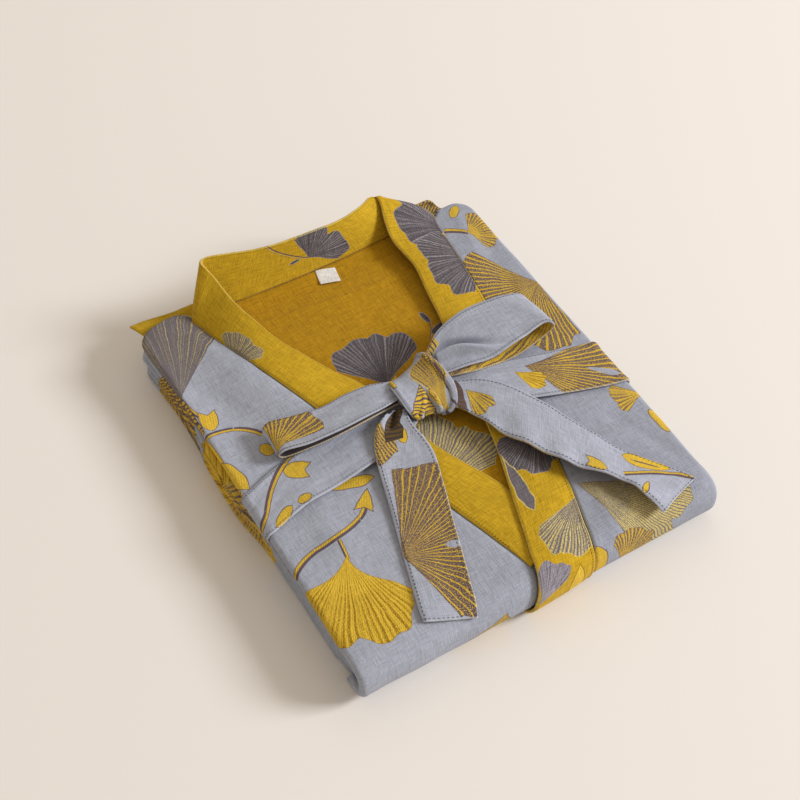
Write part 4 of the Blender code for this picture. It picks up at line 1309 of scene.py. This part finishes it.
def sizeLabel(material):
    turn = Matrix.Rotation(label["turn"], 2)

    def pointAt(up, across):
        local = Vector(((across - 0.5) * label["size"][0], (up - 0.5) * label["size"][1]))
        lift = 0.0007 + 0.0012 * (1 - up) ** 2 + 0.0004 * math.sin(math.pi * across)
        return backPoint(*(label["centre"] + turn @ local)) + Vector((0, 0, lift))

    rows = surface(8, 12, pointAt)
    piece = clothPiece("sizeLabel", rows, ribbonUvs(rows), material, "size_label", 0.0005, flip=True)


# The figures of each cloth, in millimetres on its own flat cloth:
# leaves: style, u, v, turn in degrees, size, spread, ribs, notch, stripe, then waist, heart and rounding
# leaflets: style, u and v of each end, half widths as shares of the length, cleft, bands
# stems: u and v of each end, bow, half width (below 0, the dark side changes over)
# edge, end: the pale pressed edges as shares of the piece's width and length
# turned: where the far edge shows the yellow reverse, as shares of the length
patterns = {
    "frontRight": {
        "ground": "slate",
        "leaves": (
            ("mist", -161, 104, -18, 86, 33, 17, 0.03, 0.09),
            ("gold", -119.9, -87.7, 157, 76, 52, 13, 0.03, 0.3, 0.5, 0, 0.26),
            ("yellow", -40, -190, 160, 55, 50, 8, 0.2, 0.5),
        ),
        "leaflets": (
            ("yellow", -165.5, 118, -165.5, 66, 0.14, 0.14, 0, 12),
            ("gold", -165, 66, -165, 20, 0.15, 0.15, 0),
            ("stipple", -165.5, 26, -165.5, -40, 0.11, 0.11, 0, 14),
            ("yellow", -151.5, 64.1, -147, 87, 0.3, 0.38, 0.24),
            ("yellow", -77, -45, -90.5, -62.5, 0.05, 0.46, 0.22),
            ("yellow", -121.5, 20, -126.3, 34.5, 0.38, 0.34, 0),
            ("yellow", -106, -30, -66, -39.2, 0.07, 0.17, 0), ("yellow", -164, 36, -153, 0, 0.2, 0.2, 0),
        ),
        "stems": (
            (-161.2, 114.5, -151, 76, -3, 2.5), (-164, 60, -137, 58.5, 2, -2.4),
            (-137, 58.5, -120.4, 42, 2, -2.4), (-161.5, -85, -136.3, -72.5, 2, 2.8),
            (-136.3, -72.5, -96, -65.3, -2, 2.7), (-96, -65.3, -85, -56, -1, 2.6),
            (-118, -74.2, -120.1, -92, 0, 1.8),
        ),
    },
    "frontLeft": {
        # painted shade: this front's ground is the slate cloth made darker, standing in for the shade on
        # this panel
        "ground": "shadedSlate",
        "leaves": (
            ("yellow", 134, 141.2, -98, 31, 62, 8, 0.05, 0.4),
            ("yellow", 160, 62.5, 105, 82, 72, 15, 0.08, 0.58, 0.1, 0.1),
            ("yellow", 163, -78, 78, 32, 34, 4, 0, 0.35),
            ("mist", 59.1, -122.4, -143, 94, 30, 17, 0.1, 0.54),
            ("yellow", 63.3, -206, -30, 33, 50, 8, 0, 0.5),
        ),
        "leaflets": (
            ("yellow", 130.5, 163.1, 148, 173.6, 0.28, 0.22, 0),
            ("yellow", 156.5, -93, 157, -120, 0.18, 0.16, 0),
            ("yellow", 41.1, -173, 44.5, -206, 0.2, 0.22, 0),
        ),
        "stems": ((115, 152.5, 134.1, 140.5, 1, 3),),
    },
    "collar": {
        "ground": "mustard", "edge": 0.024,
        "leaves": (
            ("fawn", -15, 298.5, -82, 40, 42, 14, 0.03, 0.3),
            ("ash", 18.9, 463, -42, 38, 76, 14, 0.15, 0.22), ("ash", -12, 590, -100, 50, 45, 9, 0, 0.2),
            ("ash", -20, 636, -90, 58, 58, 15, 0, 0.2), ("ash", 9.4, 822.8, -40, 42, 56, 14, 0.05, 0.2),
            ("fawn", -1, 894, -40, 46, 37, 9, 0.05, 0.32), ("lilac", 45.8, 958, 151, 31, 36, 7, 0, 0.25),
        ),
        "leaflets": (
            ("fawn", 47, 829, 34.1, 889, 0.02, 0.14, 0), ("gold", 13.8, 940.4, 16.7, 972, 0.1, 0.25, 0),
            ("ash", 19.6, 445.9, 21.5, 456, 0.2, 0.2, 0),
        ),
        "stems": ((48, 419.6, 18.9, 463, 1, 1.3),),
    },
    "back": {
        # painted shade: the back's ground is the mustard cloth made darker, for the shade inside the neck
        "ground": "ochre",
        "leaves": (
            ("ash", -12.3, 36.4, -12, 57, 51, 13, 0.06, 0.2),
            ("fawn", -40, -70, -50, 75, 42, 15, 0.05, 0.36),
        ),
        "leaflets": (
            ("gold", -10.5, 36.3, 0, 42.5, 0.16, 0.16, 0), ("ash", 49.4, 89, 51.4, 74, 0.18, 0.22, 0),
            ("ash", 60.6, 69.9, 45.8, 63.5, 0.2, 0.24, 0),
        ),
        "stems": ((51.4, 74, 40.9, 58.9, 1, 0.8),),
    },
    "layers": {
        "ground": "slate",
        "leaves": (
            ("yellow", 808, 72, -88, 78, 76, 15, 0, 0.62, 0),
            ("gold", 1010, 76, 92, 125, 55, 13, 0, 0.3, 0),
            ("stipple", 930, 72, -90, 66, 78, 12, 0, 0.3, 0), ("mist", 250, 80, 190, 60, 50, 10, 0.1, 0.4),
            ("yellow", 360, 30, 10, 55, 50, 9, 0.1, 0.4), ("yellow", 560, 80, 175, 60, 55, 9, 0.1, 0.45),
            ("mist", 690, 30, -10, 60, 50, 11, 0.1, 0.4), ("gold", 450, 140, 40, 70, 50, 9, 0.15, 0.4),
            ("yellow", 790, 150, -40, 70, 50, 9, 0.15, 0.45),
            ("yellow", 180, 150, 80, 70, 50, 9, 0.15, 0.45),
        ),
    },
    "sashRight": {
        "ground": "haze", "edge": 0.028,
        "leaflets": (
            ("yellow", 7.2, 122.2, 20.5, 102, 0.3, 0.36, 0.22),
            ("yellow", 41, 151.5, 37.4, 130.6, 0.24, 0.26, 0),
            ("yellow", 38.2, 126.5, 41, 114, 0.34, 0.36, 0),
        ),
        "stems": (
            (-1, 109, 25.2, 150.6, 3, -3.1), (25.2, 150.6, 40.2, 176, -1, -2.8),
        ),
    },
    "sashLeft": {
        "ground": "haze", "edge": 0.028,
        "leaves": (
            ("yellow", 11, 86.5, -30, 88, 42, 9, 0.12, 0.62, 0.1, 0.14),
            ("gold", 15, 75.5, -48, 25, 34, 4, 0, 0.3),
        ),
        "leaflets": (("slate", 25, 132.5, 39.5, 153, 0.08, 0.2, 0),),
    },
    "loopRight": {
        "ground": "haze", "edge": 0.03, "turned": (0.5, 1.1),
        "leaves": (("yellow", 29.8, 106.5, 133, 50, 40, 6, 0, 0.52),),
    },
    "loopLeft": {
        "ground": "haze", "edge": 0.03, "turned": (0.5, 1.1),
        "leaflets": (("stipple", 3.5, -4, 1, 21, 0.38, 0.3, 0, 7),),
    },
    "tailRight": {
        "ground": "haze", "edge": 0.03, "end": 0.012,
        "leaves": (
            ("yellow", -1, 122.5, -98, 80, 73, 15, 0.03, 0.82, 0.05, 0.06, 0.1),
            ("yellow", -12, -5, -24, 58, 15, 5, 0, 0.55, 0),
        ),
        "leaflets": (
            # the umber leaflet is the hollow at this tail's root: the reverse's brown stripes, with the
            # hollow's shade painted into its dark body
            ("gold", 20.5, 21, 24.5, 35, 0.3, 0.26, 0), ("umber", 13, -3, 16.5, 31, 0.27, 0.2, 0, 9),
            ("slate", 33, 127.5, 45, 132, 0.2, 0.3, 0),
        ),
    },
    "tailLeft": {
        "ground": "haze", "edge": 0.03, "end": 0.012, "turned": (-0.1, 0.45),
        "leaves": (("yellow", 10.4, 12.5, -50, 28, 33, 4, 0, 0.3),),
        "leaflets": (
            ("wine", 0, 6, 34, 7.5, 0.14, 0.12, 0, 9), ("yellow", 33.5, 133, 35.4, 114, 0.3, 0.36, 0.22),
            ("gold", 8.5, 144, 4.5, 174.5, 0.24, 0.22, 0), ("plum", 9.2, 149, 6.6, 170, 0.05, 0.05, 0),
            ("yellow", 26.5, 169.3, 42.5, 173.5, 0.15, 0.18, 0),
        ),
        "stems": ((28.4, 146.6, 1, 193, 1, 2.6),),
    },
    "sleeve": {
        "ground": "slate",
        "leaves": (("yellow", 3, 30, -70, 40, 70, 11, 0, 0.6, 0),),
    },
    # painted shade: near-black cloth for the inner face of one loop, standing in for the deep shade inside
    # it
    "loopShade": {"ground": "ash"},
    "reverse": {
        "ground": "mustard",
        "leaves": (("yellow", 20, 60, 0, 200, 30, 14, 0, 0.3),),
    },
    "mustard": {"ground": "mustard"},
    "knotCore": {
        "ground": "haze",
        "leaves": (("yellow", 38, 52, 180, 30, 60, 6, 0, 0.6),),
    },
    "knot": {
        "ground": "haze", "edge": 0.035,
        "leaves": (("stipple", 32, 58, -174, 48, 24, 7, 0, 0.36, 0, 0),),
        "leaflets": (
            ("yellow", 22, 28.5, 10.8, 56, 0.06, 0.5, 0, 9), ("plum", 42.8, 8, 42.8, 60, 0.007, 0.007, 0),
            # the wide plum leaflet near the knot's lower front end is painted shade under the knot
            ("yellow", 3.6, 2, 3.4, 20, 0.13, 0.13, 0), ("plum", 36.5, 56, 36, 64, 0.5, 0.55, 0),
        ),
    },
    "label": {"ground": "white"},
}
cloths = {name: clothMaterial(name + "Cloth", **pattern) for name, pattern in patterns.items()}

frontPanel("frontRight", "front_right", -1, seams["right"], cloths["frontRight"])
frontPanel("frontLeft", "front_left", 1, seams["left"], cloths["frontLeft"])
collarBand(cloths["collar"])
backInside(cloths["back"])
lowerLayers(cloths["layers"])
sleeveRight(cloths["mustard"])
sleeveLeft(cloths["sleeve"])
print("the robe's own pieces are made")
sashStretch("sashRight", "sash_right", -1, sash["right"], cloths["sashRight"], False)
sashStretch("sashLeft", "sash_left", 1, sash["left"], cloths["sashLeft"], True)
# this loop's inner face gets the near-black painted-shade cloth
bowLoop("loopRight", "loop_right", "right", cloths["loopRight"], cloths["loopShade"])
bowLoop("loopLeft", "loop_left", "left", cloths["loopLeft"], cloths["reverse"])
bowTail("tailRight", "tail_right", "right", cloths["tailRight"])
bowTail("tailLeft", "tail_left", "left", cloths["tailLeft"])
knotCore(cloths["knotCore"])
knotWrap(cloths["knot"])
sizeLabel(cloths["label"])
print("the sash and its bow are made")

# Sewing: piece, node, two places across, from and to along the piece, pitch, length and thickness in mm
threads = {
    "slate": threadMaterial("slateThread", (0.085, 0.090, 0.120, 1.0)),
    "gold": threadMaterial("goldThread", (0.165, 0.085, 0.012, 1.0)),
}
seamTable = (
    ("tailRight", "tail_right", (0.066, 0.934), 0.03, 0.985, (3.2, 2.2, 0.60)),
    ("tailLeft", "tail_left", (0.066, 0.934), 0.03, 0.985, (3.2, 2.2, 0.60)),
    ("loopRight", "loop_right", (0.062, 0.938), 0.04, 0.96, (2.7, 1.9, 0.45)),
    ("loopLeft", "loop_left", (0.062, 0.938), 0.04, 0.96, (2.7, 1.9, 0.45)),
    ("sashRight", "sash_right", (0.062, 0.938), 0.15, 0.99, (2.7, 1.9, 0.45)),
    ("sashLeft", "sash_left", (0.062, 0.938), 0.15, 0.99, (2.7, 1.9, 0.45)),
)
for name, node, shares, low, high, sizes in seamTable:
    lines = [seamAlong(made[name], share, 0.0001, name.endswith("Left"), low, high) for share in shares]
    if name.startswith("tail"):
        lines.append([point.copy() for point in made[name][-3][1:-1]])
    stitches(name + "Stitches", lines, threads["slate"], node, *(size * mm for size in sizes))
band, over = made["collarBand"], collar["band"] + 0.0001
lines = [seamAlong(band, 0.065, over, True, 0.02, 0.98), seamAlong(band, 0.135, over, True, 0.41, 0.57)]
stitches("collarStitches", lines, threads["gold"], "collar", 0.0026, 0.0018, 0.0005)
print("the sewing is made")

boxes = {"cad": cadBounds, "visual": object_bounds()}
{name: [list(corner) for corner in box] for name, box in boxes.items()}
